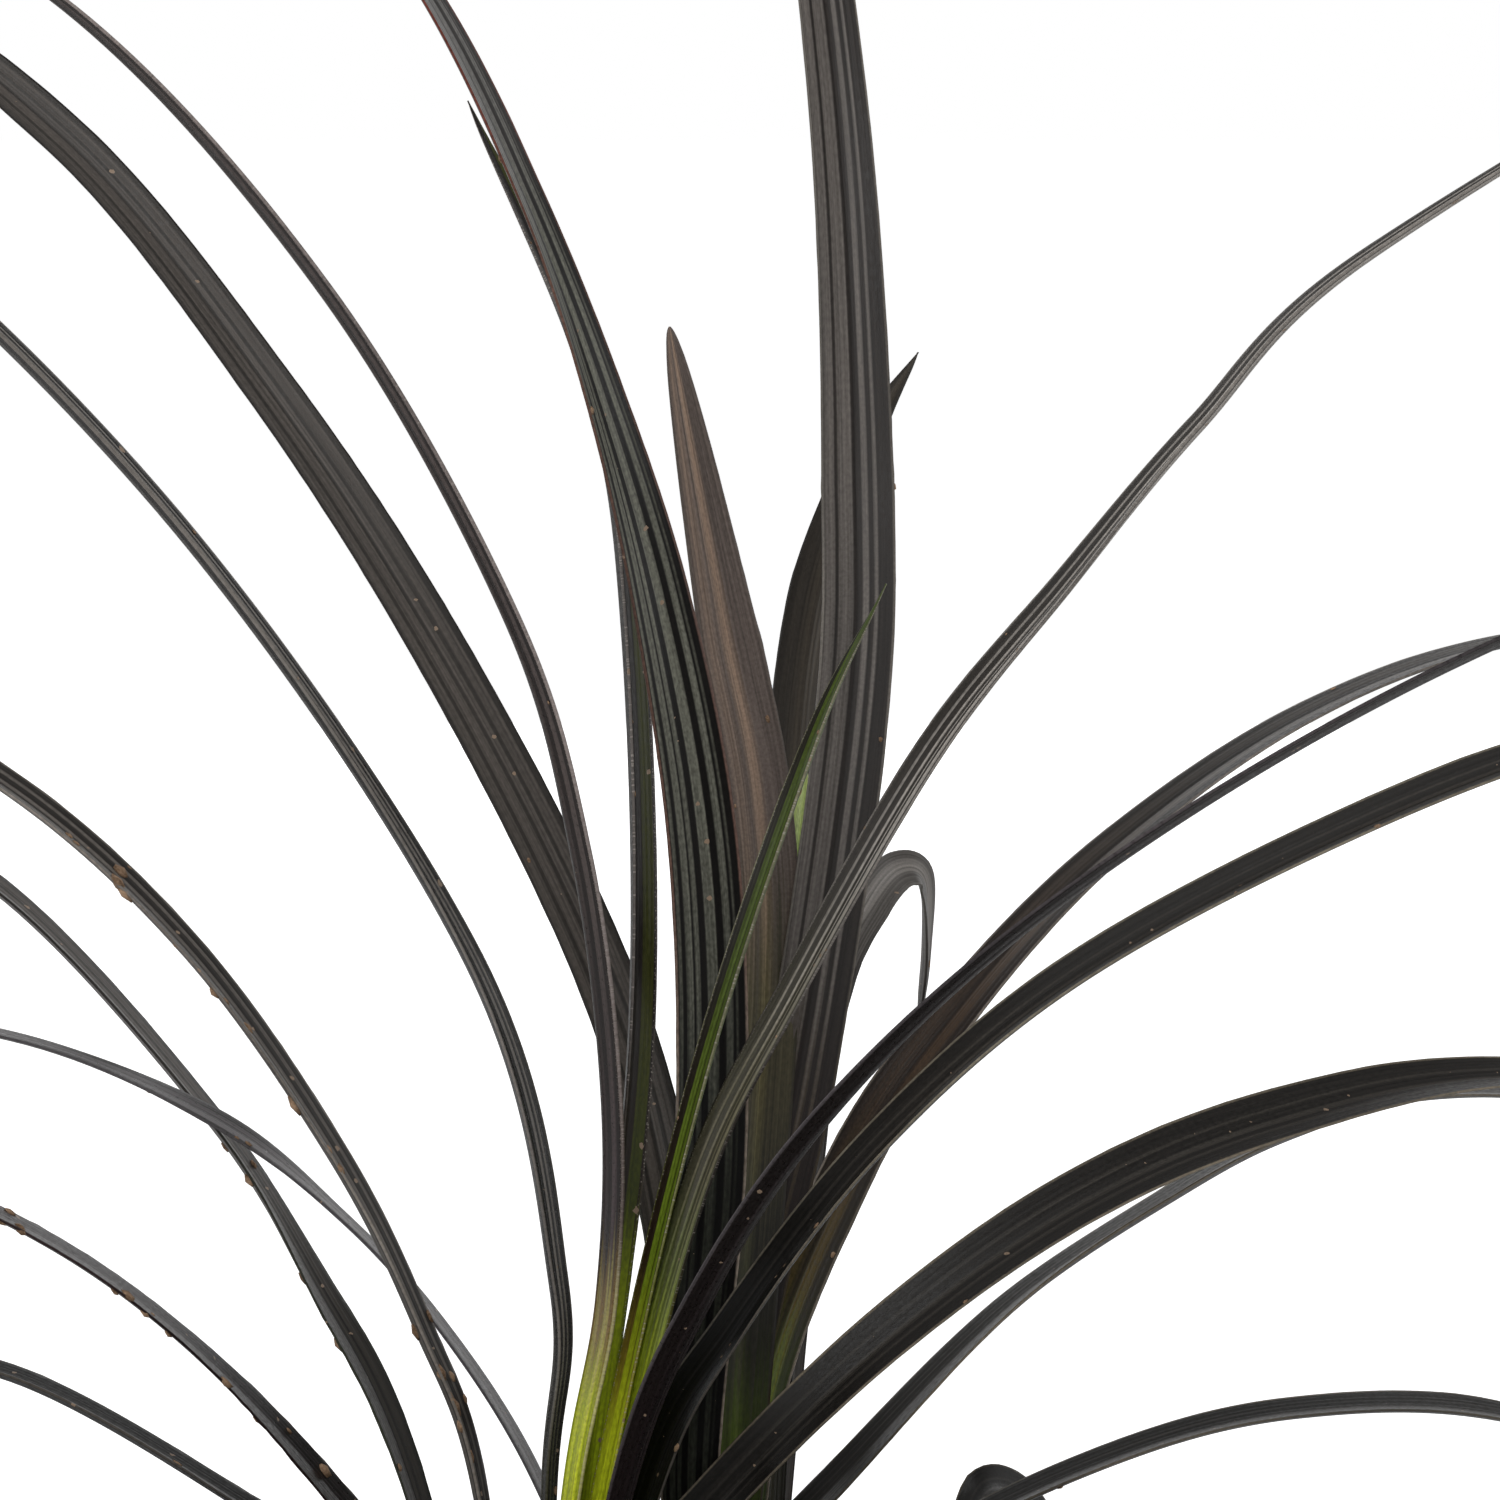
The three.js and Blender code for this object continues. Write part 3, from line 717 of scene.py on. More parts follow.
class MeshParts:
    """Gathers vertices, faces, UVs and finishes for one piece."""

    def __init__(self) -> None:
        """Starts with nothing gathered."""
        self.vertices: list[np.ndarray] = []
        self.faces: list[tuple[int, ...]] = []
        self.slots: list[int] = []
        self.share_uv: list[tuple[float, float]] = []
        self.size_uv: list[tuple[float, float]] = []
        self.materials: list[Material] = []
        self.count = 0

    def slot(self, material: Material) -> int:
        """The number of a finish on this piece."""
        if material not in self.materials:
            self.materials.append(material)
        return self.materials.index(material)

    def add_points(self, points: np.ndarray) -> int:
        """Adds vertices in millimetres.

        Args:
            points: one vertex to a row.

        Returns:
            The number of the first one.
        """
        first = self.count
        self.vertices.append(points)
        self.count += len(points)
        return first

    def add_face(self, corners: tuple[int, ...], slot: int) -> None:
        """Adds a face that has no pattern map."""
        self.faces.append(corners)
        self.slots.append(slot)
        self.share_uv.extend([(0.5, 0.5)] * len(corners))
        self.size_uv.extend([(0.0, 0.0)] * len(corners))

    def close_ends(self, first: int, last: int, sides: int, slot: int) -> None:
        """Closes a tube, given the first corner of each end ring."""
        self.add_face(tuple(reversed(range(first, first + sides))), slot)
        self.add_face(tuple(range(last, last + sides)), slot)

    def add_turned(self, rings: list[np.ndarray], slot: int) -> None:
        """Adds a body of stacked rings, with both ends closed.

        Args:
            rings: each ring's vertices, from the foot up.
            slot: the number of its finish.
        """
        sides = len(rings[0])
        first = self.add_points(np.vstack(rings))
        last = first + (len(rings) - 1) * sides
        for row in range(first, last, sides):
            for corner in range(sides):
                a, b = row + corner, row + (corner + 1) % sides
                self.add_face((a, b, b + sides, a + sides), slot)
        self.close_ends(first, last, sides, slot)

    def add_blade(self, blade: Blade, material: Material) -> None:
        """Adds the skin of a leaf, with its margins and both ends closed.

        Args:
            blade: the leaf's surface.
            material: its finish.
        """
        slot = self.slot(material)
        top = np.linspace(-1, 1, SECTION_TOP)
        under = np.linspace(1, -1, SECTION_UNDER)
        offset = np.concatenate([top, under])
        height = np.hstack([blade.section(top, True), blade.section(under, False)])
        half = np.repeat(blade.width[:, None] / 2, len(offset), axis=1)
        for side, teeth in zip((-1, 1), blade.margin_teeth()):
            half[:, offset == side] += teeth[:, None]
        points = (
            blade.centre[:, None, :]
            + blade.across[:, None, :] * (half * offset)[:, :, None]
            + blade.up[:, None, :] * height[:, :, None]
        )
        rings, size = half.shape
        first = self.add_points(points.reshape(-1, 3))
        share = (offset + 1) / 2
        shifted = blade.length + LEAF_SHIFT * (blade.seed % LEAF_SHIFTS)
        maps = ((self.share_uv, share, blade.share), (self.size_uv, share * blade.leaf.width, shifted))
        for ring in range(rings - 1):
            row, above = first + ring * size, first + (ring + 1) * size
            for corner in range(size):
                other = (corner + 1) % size
                self.faces.append((row + corner, row + other, above + other, above + corner))
                self.slots.append(slot)
                for values, aside, along in maps:
                    near, far, low, high = aside[corner], aside[other], along[ring], along[ring + 1]
                    values.extend([(near, low), (far, low), (far, high), (near, high)])
        self.close_ends(first, first + (rings - 1) * size, size, slot)

    def piece(self, name: str, smooth: bool = True) -> bpy.types.Object:
        """Makes the gathered parts one object.

        Args:
            name: the piece's name.
            smooth: whether its faces are shaded smooth.

        Returns:
            The object, linked to the scene.
        """
        mesh = bpy.data.meshes.new(name)
        mesh.from_pydata((np.vstack(self.vertices) * MM).tolist(), [], self.faces)
        for material in self.materials:
            mesh.materials.append(material)
        mesh.polygons.foreach_set("material_index", self.slots)
        mesh.polygons.foreach_set("use_smooth", [smooth] * len(self.faces))
        for map_name, values in ((SHARE_MAP, self.share_uv), (SIZE_MAP, self.size_uv)):
            layer = mesh.uv_layers.new(name=map_name)
            layer.uv.foreach_set("vector", np.array(values, dtype=np.float32).ravel())
        mesh.update()
        piece = bpy.data.objects.new(name, mesh)
        bpy.context.scene.collection.objects.link(piece)
        return piece


# A crumb is a jittered icosahedron: twelve corners and twenty faces.
GOLDEN = (1 + math.sqrt(5)) / 2
CRUMB_CORNERS = unit(
    np.array(
        [(-1, GOLDEN, 0), (1, GOLDEN, 0), (-1, -GOLDEN, 0), (1, -GOLDEN, 0)]
        + [(0, -1, GOLDEN), (0, 1, GOLDEN), (0, -1, -GOLDEN), (0, 1, -GOLDEN)]
        + [(GOLDEN, 0, -1), (GOLDEN, 0, 1), (-GOLDEN, 0, -1), (-GOLDEN, 0, 1)]
    )
)
CRUMB_FACES = (
    (0, 11, 5), (0, 5, 1), (0, 1, 7), (0, 7, 10), (0, 10, 11), (1, 5, 9), (5, 11, 4),
    (11, 10, 2), (10, 7, 6), (7, 1, 8), (3, 9, 4), (3, 4, 2), (3, 2, 6), (3, 6, 8),
    (3, 8, 9), (4, 9, 5), (2, 4, 11), (6, 2, 10), (8, 6, 7), (9, 8, 1),
)  # fmt: skip
CRUMB_JITTER = (0.72, 1.18)  # least and greatest reach of a corner


def add_crumb(
    parts: MeshParts,
    material: Material,
    centre: np.ndarray,
    axes: np.ndarray,
    source: np.random.Generator,
) -> None:
    """Adds one small lump with uneven corners.

    Args:
        parts: the piece that takes it.
        material: its finish.
        centre: its middle, in millimetres.
        axes: its three half sizes as rows, each along its own direction.
        source: where its unevenness is drawn from.
    """
    jitter = source.uniform(*CRUMB_JITTER, (len(CRUMB_CORNERS), 1))
    first = parts.add_points(centre + (CRUMB_CORNERS * jitter) @ axes)
    slot = parts.slot(material)
    for a, b, c in CRUMB_FACES:
        parts.add_face((first + a, first + b, first + c), slot)


# Shoots ---------------------------------------------------------------------------------------


@dataclass(frozen=True)
class LowLeafForm:
    """The low leaves that arch out over the rim and hang outside the pot."""

    width: float = 4.4
    width_change: float = 0.5
    reach: tuple[float, float] = (80.0, 104.0)
    drop: tuple[float, float] = (0.0, 44.0)
    rise: float = 21.0
    back_rise: float = 4.0
    drift: float = 7.0
    tilt: float = 14.0

    FINISHES = (Skin.CHARCOAL, Skin.GLOSSY, Skin.STRIPED, Skin.PLUM)
    REACH_STEP, DROP_STEP = 0.618, 0.382  # golden shares make neighbours unlike each other
    # Radians from one leaf's drift, tilts and width to the next one's.
    DRIFT_TURN, TILT_TURNS, WIDTH_TURN = 2.4, (1.9, 1.3), 3.1

    def leaf(self, crown: tuple[float, float], degrees: float, index: int) -> Leaf:
        """One low leaf.

        Args:
            crown: the middle of the shoot.
            degrees: the direction it grows in.
            index: a number that sets its reach, drop and lean.

        Returns:
            The leaf.
        """
        angle = math.radians(degrees)
        out_x, out_y = math.cos(angle), math.sin(angle)
        reach = self.reach[0] + (self.reach[1] - self.reach[0]) * (index * self.REACH_STEP % 1)
        drop = self.drop[0] + (self.drop[1] - self.drop[0]) * (index * self.DROP_STEP % 1)
        rise = self.rise - self.back_rise * out_y
        drift = self.drift * math.sin(self.DRIFT_TURN * index)
        arch = (
            (0.0, 0.0), (0.07, 0.5 * rise), (0.24, 0.9 * rise), (0.46, rise),
            (0.7, 0.7 * rise), (0.88, -0.35 * drop), (1.0, -drop),
        )  # fmt: skip
        route = tuple(
            (
                crown[0] + reach * share * out_x - drift * share**2 * out_y,
                crown[1] + reach * share * out_y + drift * share**2 * out_x,
                height,
            )
            for share, height in arch
        )
        base_turn, tip_turn = (turn * index for turn in self.TILT_TURNS)
        return Leaf(
            self.FINISHES[index % len(self.FINISHES)],
            self.width + self.width_change * math.sin(self.WIDTH_TURN * index),
            (self.tilt * math.sin(base_turn), self.tilt * math.cos(tip_turn)),
            route,
            grit=8,
            ring_gap=2.0,
            front=(out_y, -out_x, 0.0),
        )


@dataclass
class Shoot:
    """One leafy shoot: a short stock, its leaves, new spears and low leaves."""

    name: str
    crown: tuple[float, float]
    radius: float
    leaves: dict[str, Leaf] = field(default_factory=dict)
    spears: tuple[Point, ...] = ()  # lean to the right, lean to the back and height of each
    low_from: float = 0.0
    low_to: float = 0.0
    low_count: int = 0
    slot: str = "leaf"

    STOCK_SIDES = 40
    STOCK_RIDGES = 9
    ROOT_END = (1.2, -12.5)  # its radius and its height above the soil
    # Shares of the radius and heights above the soil.
    STOCK_PROFILE = ((0.8, -6.5), (1.0, -1.0), (0.96, 3.0), (0.7, 6.0), (0.2, 7.8))
    RIDGE_HEIGHT, UNEVEN = 0.05, 0.03  # of the stock, as shares of its radius
    DRY_BASES = 7
    BASE_SPREAD = 0.3  # share of the gap between two bases
    BASE_WIDTH = 2.6
    BASE_TURN = (-84.0, -88.0)
    BASE_HEIGHT = (7.0, 13.0)
    BASE_SUNK = 1  # millimetres in the soil
    BASE_LEAN = (0.85, 1.02, 1.15)  # distances from the crown's middle, as shares of the radius
    BASE_TIP = (1.25, 1.5)  # least and greatest for the tip
    # The leaves' and the bases' seeds start this far apart from shoot to shoot.
    LEAF_SEEDS, BASE_SEEDS = 31, 10
    BASE_SEED, GRIT_SEED = 700, 100  # the first of the bases' and of the flakes' seeds
    FLAKE_SPAN = (0.1, 0.9)  # shares of the leaf's length
    FLAKE_SIZE = (0.08, 0.26)  # half widths
    FLAKE_LENGTH, FLAKE_DEPTH = 1.5, 0.55  # beside the width

    def stock(self, parts: MeshParts, seed: int) -> None:
        """Adds the stock that the leaves clasp, ridged by old leaf bases.

        Args:
            parts: the piece that takes it.
            seed: where its unevenness is drawn from.
        """
        source = np.random.default_rng(seed)
        angle = np.linspace(0, 2 * math.pi, self.STOCK_SIDES, endpoint=False)
        uneven = source.uniform(-self.UNEVEN, self.UNEVEN, self.STOCK_SIDES)
        ridge = 1 + self.RIDGE_HEIGHT * np.cos(self.STOCK_RIDGES * angle) + uneven
        profile = [self.ROOT_END] + [(share * self.radius, up) for share, up in self.STOCK_PROFILE]
        middle = np.array([*self.crown, SOIL_LEVEL])
        rings = [middle + level_ring(angle, radius * ridge, up) for radius, up in profile]
        parts.add_turned(rings, parts.slot(PAPERY_SHEATH))

    def sheaths(self, seed: int) -> list[Leaf]:
        """Short dry leaf bases that stand round the stock.

        Args:
            seed: where their lean is drawn from.

        Returns:
            The dry bases.
        """
        source = random.Random(seed)
        bases = []
        for index in range(self.DRY_BASES):
            place = index + source.uniform(-self.BASE_SPREAD, self.BASE_SPREAD)
            angle = 2 * math.pi * place / self.DRY_BASES
            out_x, out_y = math.cos(angle), math.sin(angle)
            height = source.uniform(*self.BASE_HEIGHT)
            lean = (*self.BASE_LEAN, source.uniform(*self.BASE_TIP))
            route = tuple(
                (
                    self.crown[0] + self.radius * share * out_x,
                    self.crown[1] + self.radius * share * out_y,
                    height * step / len(self.BASE_LEAN) - self.BASE_SUNK,
                )
                for step, share in enumerate(lean)
            )
            front = (out_x, out_y, 0.0)
            base = Leaf(Skin.PLUM, self.BASE_WIDTH, self.BASE_TURN, route, grit=0, front=front)
            bases.append(base)
        return bases

    def spear(self, lean_x: float, lean_y: float, height: float) -> Leaf:
        """A new leaf, still rolled.

        Args:
            lean_x: millimetres by which it leans to the right at half its height.
            lean_y: the same to the back.
            height: how high it reaches above the soil.

        Returns:
            The leaf.
        """
        route = tuple(
            (self.crown[0] + lean * lean_x, self.crown[1] + lean * lean_y, height * step / 2)
            for step, lean in enumerate((0, 1, 3))
        )
        return Leaf(Skin.YOUNG, 2.0, (45.0, 45.0), route, grit=0, ring_gap=0.6)

    def build(self, index: int) -> bpy.types.Object:
        """Builds the shoot as one piece in place of its solid.

        Args:
            index: the shoot's number.

        Returns:
            The piece.
        """
        parts = MeshParts()
        self.stock(parts, index)
        leaves = list(self.leaves.values()) + [self.spear(*spear) for spear in self.spears]
        for step in range(self.low_count):
            share = (step + 0.5) / self.low_count
            degrees = self.low_from + (self.low_to - self.low_from) * share
            leaves.append(LowLeafForm().leaf(self.crown, degrees, 7 * index + step))
        source = np.random.default_rng(self.GRIT_SEED + index)
        for number, leaf in enumerate(leaves):
            blade = Blade(leaf, self.LEAF_SEEDS * index + number + 1)
            parts.add_blade(blade, SKINS[leaf.skin])
            self.scatter_grit(parts, blade, source)
        for number, leaf in enumerate(self.sheaths(index)):
            blade = Blade(leaf, self.BASE_SEED + self.BASE_SEEDS * index + number)
            parts.add_blade(blade, PAPERY_SHEATH)
        piece = parts.piece(f"leaves_{self.name}")
        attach(piece, "root")
        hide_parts(self.name)
        LOG.info("%s: %d leaves, %d faces", piece.name, len(leaves), len(parts.faces))
        return piece

    def scatter_grit(self, parts: MeshParts, blade: Blade, source: np.random.Generator) -> None:
        """Sticks flakes of dried soil along a leaf's margins.

        Args:
            parts: the piece that takes them.
            blade: the leaf.
            source: where their places are drawn from.
        """
        for _ in range(blade.leaf.grit):
            offset = float(source.choice([-1, 1]) * source.uniform(blade.leaf.clean, 1.0))
            upper = bool(source.random() < 0.5)
            share = float(source.uniform(*self.FLAKE_SPAN))
            point, out, along = blade.at(share, offset, upper)
            size = blade.leaf.flake * float(source.uniform(*self.FLAKE_SIZE))
            length, depth = along * size * self.FLAKE_LENGTH, out * size * self.FLAKE_DEPTH
            axes = np.vstack([length, np.cross(out, along) * size, depth])
            add_crumb(parts, DRIED_SOIL, point, axes, source)


FRONT_LEAVES = {
    "slimLeft": Leaf(
        Skin.GLOSSY, 3.5, (12, 12, 13, 17, 8, 6, 5, 8, 10),
        ((-10, -7, 0), (-9.2, -6, 28), (-8.6, -5, 42), (-14.6, -5, 64.9), (-35.6, -8, 96.3),
         (-61.3, -15, 121.1), (-84, -24, 131), (-104, -33, 128)),
        channel=0.22,
    ),
    "foldedLeft": Leaf(
        Skin.PLUM_GREEN_FOOT, 4.2, (-20, -20, -16, -15, -15, -8, -4, -3, -5, -8),
        ((-10.5, -9, 0), (-7.8, -8, 27.3), (-5.3, -8, 41.3), (-4.9, -9, 55.7), (-7, -11, 72.9),
         (-11.6, -14, 89.3), (-24, -20, 111.9), (-41.4, -30, 131.7), (-62.1, -41, 142.7),
         (-85, -52, 144)),
        channel=0.2,
    ),
    "shortOlive": Leaf(
        Skin.OLIVE, 3.4, (30, 30, 28, 22, 24, 34),
        ((-10, -7, 0), (-6.5, -7, 29), (-3, -5.5, 59), (-3.5, -2, 88), (-6.4, 3, 105), (-15, 10, 124.3)),
        channel=0.3, tip_start=0.78, tip_power=0.7,
    ),
    "youngGreen": Leaf(
        Skin.YOUNG, 2.4, (28, 28, 26, 20),
        ((-10, -9, 0), (-5.1, -9, 28.9), (1.4, -10.5, 56.9), (9, -12, 80), (14.3, -13, 91.5)),
        channel=0.25,
    ),
    "longRight": Leaf(
        Skin.SAGE, 3.6, (36, 36, 30, 28, 29, 20, 10, 7, 5, 5),
        ((-9, -9.5, 0), (-3.8, -10, 29.9), (1.5, -12, 50.1), (7.9, -14.5, 63.3), (17.4, -17.5, 80.2),
         (26.4, -22, 91.9), (35.2, -27, 103), (46.6, -33.5, 114.9), (76.9, -41, 132.2), (99, -49, 134)),
        channel=0.18,
    ),
    "purpleRight": Leaf(
        Skin.PLUM, 3.6, (-36, -36, -32, -24, -12, -6, -5, -5, -5),
        ((-9, -10, 0), (-4, -13, 28), (1.5, -15, 42), (10, -18, 55), (23.5, -22, 68.4), (41.7, -30, 81.4),
         (60.8, -38, 91.5), (80.9, -46, 98.5), (102, -54, 98)),
        channel=0.15,
    ),
    "broadRight": Leaf(
        Skin.INK, 4.8, (38, 38, 24, 20, 21, 22, 22, 22, 22),
        ((-9, -8, 0), (-2.2, -7.5, 28), (3.8, -6, 39), (13.9, -2, 51.6), (27.3, 5, 62.5),
         (46.1, 15, 71.7), (65, 25, 78.1), (85, 34, 81), (106, 44, 77)),
        channel=0.22,
    ),
    "sweepRight": Leaf(
        Skin.CHARCOAL, 5.2, (30, 34, 36, 40, 42, 38, 22, 18, 18),
        ((-9, -7, 0), (-5, -6, 17), (3, -4, 27), (15.2, 4, 37.8), (28.7, 17, 45.7), (43, 30, 50.2),
         (60, 44, 52), (80, 60, 48.5), (99, 75, 39)),
        channel=0.18,
    ),
}  # fmt: skip
MIDDLE_LEAVES = {
    "twistedLeft": Leaf(
        Skin.GREY_PLUM, 3.4, (10, 12, 10, 8, 6, 4, 15, 3, 3, 3, 5, 6),
        ((-3, 0.5, 0), (-5.5, 3, 15), (-10.4, 7, 27.3), (-16.7, 11, 36.8), (-23.9, 14, 44.5),
         (-33.4, 15.5, 51.7), (-48, 18, 57.3), (-65, 26, 58), (-82, 34, 52.5), (-97, 42, 43)),
        channel=0.06,
    ),
    "tuckedRight": Leaf(
        Skin.CHARCOAL, 4.4, (20, 24, 24, 18, 4, 4, 4, 6, 8),
        ((-2, -0.5, 0), (1.5, -1.5, 12), (6, 1, 21.4), (12.1, 6, 27.9), (23.7, 17, 38.3),
         (36.1, 28, 45.3), (44.5, 40, 48.2), (55, 55, 49.5), (67.5, 68, 47.5), (80, 80, 41)),
        channel=0.14,
    ),
}  # fmt: skip
CENTRE_LEAVES = {
    "stripedFront": Leaf(
        Skin.BANDED, 5.3, (84, 80, 72, 66, 49, 29, 17, 16, 12, 10),
        ((2, 5.5, 0), (0.6, 2, 26), (2.1, -1.5, 51.1), (1.6, -5, 71.8), (-1.3, -10, 89.5),
         (-5.3, -15, 104.3), (-10.2, -21, 118.1), (-16.8, -30, 132.1), (-26, -42, 145), (-39, -56, 153)),
        channel=0.12,
    ),
    "broadLeft": Leaf(
        Skin.STRIPED, 4.3, (80, 80, 62, 45, 45),
        ((1.5, 9, 0), (1.3, 10, 25), (-1, 14, 45.9), (-6, 20, 62.5), (-17.6, 31, 84.1),
         (-30.4, 43, 102.7), (-46.2, 57, 120.8), (-66, 73, 133), (-91, 92, 133)),
        channel=0.12, tip_start=0.77,
    ),
    "blunt": Leaf(
        Skin.MOTTLED, 5.0, (70, 62, 60, 60, 60),
        ((2.5, 7.5, 0), (4, 8, 32), (6, 8.5, 61), (5.5, 9, 75), (3, 9.5, 88), (-0.8, 12, 108.3)),
        channel=0.12, tip_start=0.77, tip_power=0.52,
    ),
    "tall": Leaf(
        Skin.VEINED, 5.2, (70, 78, 86, 82, 70, 60),
        ((3, 9, 0), (3.9, 9.5, 32), (8.5, 9.5, 56), (12, 10, 80), (12.5, 10.5, 97), (11, 13, 125),
         (6, 25, 161), (0, 40, 186), (-8, 60, 204)),
        channel=0.12, tip_start=0.5, tip_power=0.7,
    ),
    "limeTip": Leaf(
        Skin.LIME, 2.4, (40, 40, 40),
        ((3, 9, 0), (5, 10.5, 43), (8.9, 11, 77)),
        channel=0.1, tip_start=0.85, tip_power=0.5, grit=0,
    ),
    "lowRight": Leaf(
        Skin.CHARCOAL, 4.0, (8, 12, 11, 14),
        ((3.5, 7, 0), (8.5, 9.5, 13), (18, 16, 21), (32.1, 28, 26.1), (45, 39, 27.8), (60, 52, 26.1),
         (76, 64, 19.5), (91, 76, 8)),
        channel=0.18,
    ),
}  # fmt: skip
BACK_LEAVES = {
    "farRight": Leaf(
        Skin.GREEN_FOOT, 4.8, (60, 48, 24, 6, 6),
        ((4.5, 17, 0), (5.2, 17, 28.3), (12, 22, 47), (20.2, 30, 58.4), (31.2, 42, 68.7),
         (45.9, 55, 77.7), (62, 67, 82.6), (82, 82, 83), (104, 98, 77)),
        channel=0.1,
    ),
    "hidden": Leaf(
        Skin.UMBER, 4.8, (60, 60, 60, 60, 58, 55, 50, 45),
        ((5, 18, 0), (6.2, 22, 30.7), (7.1, 28, 55.4), (8.1, 34, 73.1), (9.4, 38, 85.2), (11.7, 42, 94.1),
         (14.3, 46, 100.2), (17.3, 50, 105)),
        channel=0.12, tip_start=0.62,
    ),
    "kinked": Leaf(
        Skin.ASH, 3.6, (60, 60, 56, 54, 54, 50, 20, 5, 4),
        ((5, 19, 0), (7.4, 34, 29.3), (9.4, 46, 49.6), (11.4, 53, 58.7), (13.9, 56, 63.5), (16, 58, 65.9),
         (17.9, 59.5, 65.2), (18.1, 60.5, 60), (17.5, 61.5, 53.5)),
        channel=0.12, tip_start=0.92, tip_power=0.6,
    ),
    "bent": Leaf(
        Skin.CHARCOAL, 4.2, (25, 30, 30, 30, 30, 25, 20, 20),
        ((5.5, 19, 0), (10.5, 31, 9.5), (15.5, 44, 14.5), (20.2, 58, 15.2), (23.1, 68, 18.3),
         (26.3, 73, 16.4), (29, 77, 11.7), (30.8, 81, 5)),
        channel=0.12,
    ),
}  # fmt: skip
LEFT_LEAVES = {
    "ribbed": Leaf(
        Skin.RIBBED, 4.4, (10, 8, 14, 14, 12),
        ((-11.5, 4.5, 0), (-14.2, 4.5, 26), (-18.3, 5, 37.9), (-24.4, 8, 49.7), (-34.9, 11, 64.1),
         (-48, 16, 75.4), (-65, 23, 83.5), (-84, 30, 85), (-104, 38, 79)),
        channel=0.18, teeth=0.12, grit=46, flake=2.5, clean=0.0,
    ),
    "rearLeft": Leaf(
        Skin.STRIPED, 4.4, (22, 24, 20, 8, 7, 7, 7, 8, 10),
        ((-12, 6.5, 0), (-19.6, 12, 27), (-26.1, 17, 39.5), (-33.9, 22, 51.2), (-49.5, 32, 66.7),
         (-66, 42, 74), (-84, 53, 73), (-101, 64, 64)),
        channel=0.14, teeth=0.1, grit=22, flake=2.1, clean=0.3,
    ),
    "toothed": Leaf(
        Skin.SLOE, 3.5, (24, 24, 20, 7, 3, 3, 3, 3),
        ((-12, 3.5, 0), (-16.8, -3, 16.8), (-24.9, -9, 28.8), (-33.6, -19, 39.5), (-42.6, -30, 47.7),
         (-52.6, -42, 53.7), (-62.4, -54, 55.8), (-71.8, -66, 53.7)),
        channel=0.1, teeth=0.25, grit=24, flake=2.1,
    ),
    "lowLeft": Leaf(
        Skin.INK, 4.2, (12, 12, 10, 5, 3, 3, 4, 6, 8),
        ((-12.5, 5.5, 0), (-20.5, 6, 17), (-31.4, 8, 25.2), (-48.7, 15, 33.6), (-63, 21, 33),
         (-78, 28, 28.5), (-93, 34, 17.5)),
        channel=0.15, teeth=0.15, grit=16, flake=1.8, clean=0.2,
    ),
}  # fmt: skip
SHOOTS = (
    Shoot(
        "shoot_front", (-9.5, -8.0), 4.2, leaves=FRONT_LEAVES, low_from=192, low_to=262, low_count=5,
        slot="leaf_front",
    ),
    Shoot("shoot_middle", (-2.5, 0.0), 2.8, leaves=MIDDLE_LEAVES),
    Shoot("shoot_centre", (2.5, 8.0), 3.6, leaves=CENTRE_LEAVES),
    Shoot("shoot_back", (5.0, 18.0), 3.2, leaves=BACK_LEAVES, low_from=46, low_to=104, low_count=4),
    Shoot("shoot_left", (-12.0, 5.0), 3.4, leaves=LEFT_LEAVES, low_from=166, low_to=186, low_count=3),
    Shoot(
        "shoot_front_right", (6.0, -10.0), 3.0, spears=((0.6, 0.4, 21), (-0.8, 0.6, 15)), low_from=268,
        low_to=342, low_count=6,
    ),
    Shoot(
        "shoot_back_left", (-8.0, 16.0), 3.0, spears=((0.4, -0.6, 16), (-0.8, 0.2, 11)), low_from=104,
        low_to=160, low_count=5,
    ),
    Shoot(
        "shoot_right", (14.0, 1.0), 3.0, spears=((-0.5, 0.5, 17), (0.8, -0.4, 12)), low_from=-14,
        low_to=30, low_count=4,
    ),
)  # fmt: skip


# Plain finishes -------------------------------------------------------------------------------


@dataclass(frozen=True)
class MottledFinish:
    """A matt, grainy natural surface whose colour drifts between two shades."""

    name: str
    dark: str
    light: str
    patch: float  # millimetres across one patch of colour
    grain: float  # millimetres across one grain
    relief: float  # millimetres
    roughness: float = 0.85
    ior: float = 1.45

    GRAIN_SHARE = 0.6  # of the grains in the colour, beside the patches
    DARKEST, LIGHTEST = 0.6, 1.0  # values of both together that have the two shades
    RELIEF_STRENGTH = 0.7

    def material(self) -> Material:
        """Builds the finish.

        Returns:
            The material.
        """
        material, tree = new_material(self.name)
        place = add(tree, "ShaderNodeTexCoord")["Object"]
        patterns = []
        for across, detail in ((self.patch, 4.0), (self.grain, 3.0)):
            inputs = {"Vector": place, "Scale": 1 / (across * MM), "Detail": detail}
            patterns.append(add(tree, "ShaderNodeTexNoise", inputs=inputs)[0])
        patches, grains = patterns
        both = add(tree, "ShaderNodeMath", SCALE_AND_ADD, (grains, self.GRAIN_SHARE, patches))[0]
        stops = [(self.DARKEST, linear(self.dark)), (self.LIGHTEST, linear(self.light))]
        colour = add(tree, "ShaderNodeValToRGB", inputs=(both,), stops=stops)[0]
        look = {"Base Color": colour, "Roughness": self.roughness, "IOR": self.ior}
        end_material(tree, grains, self.RELIEF_STRENGTH, self.relief, look)
        return material


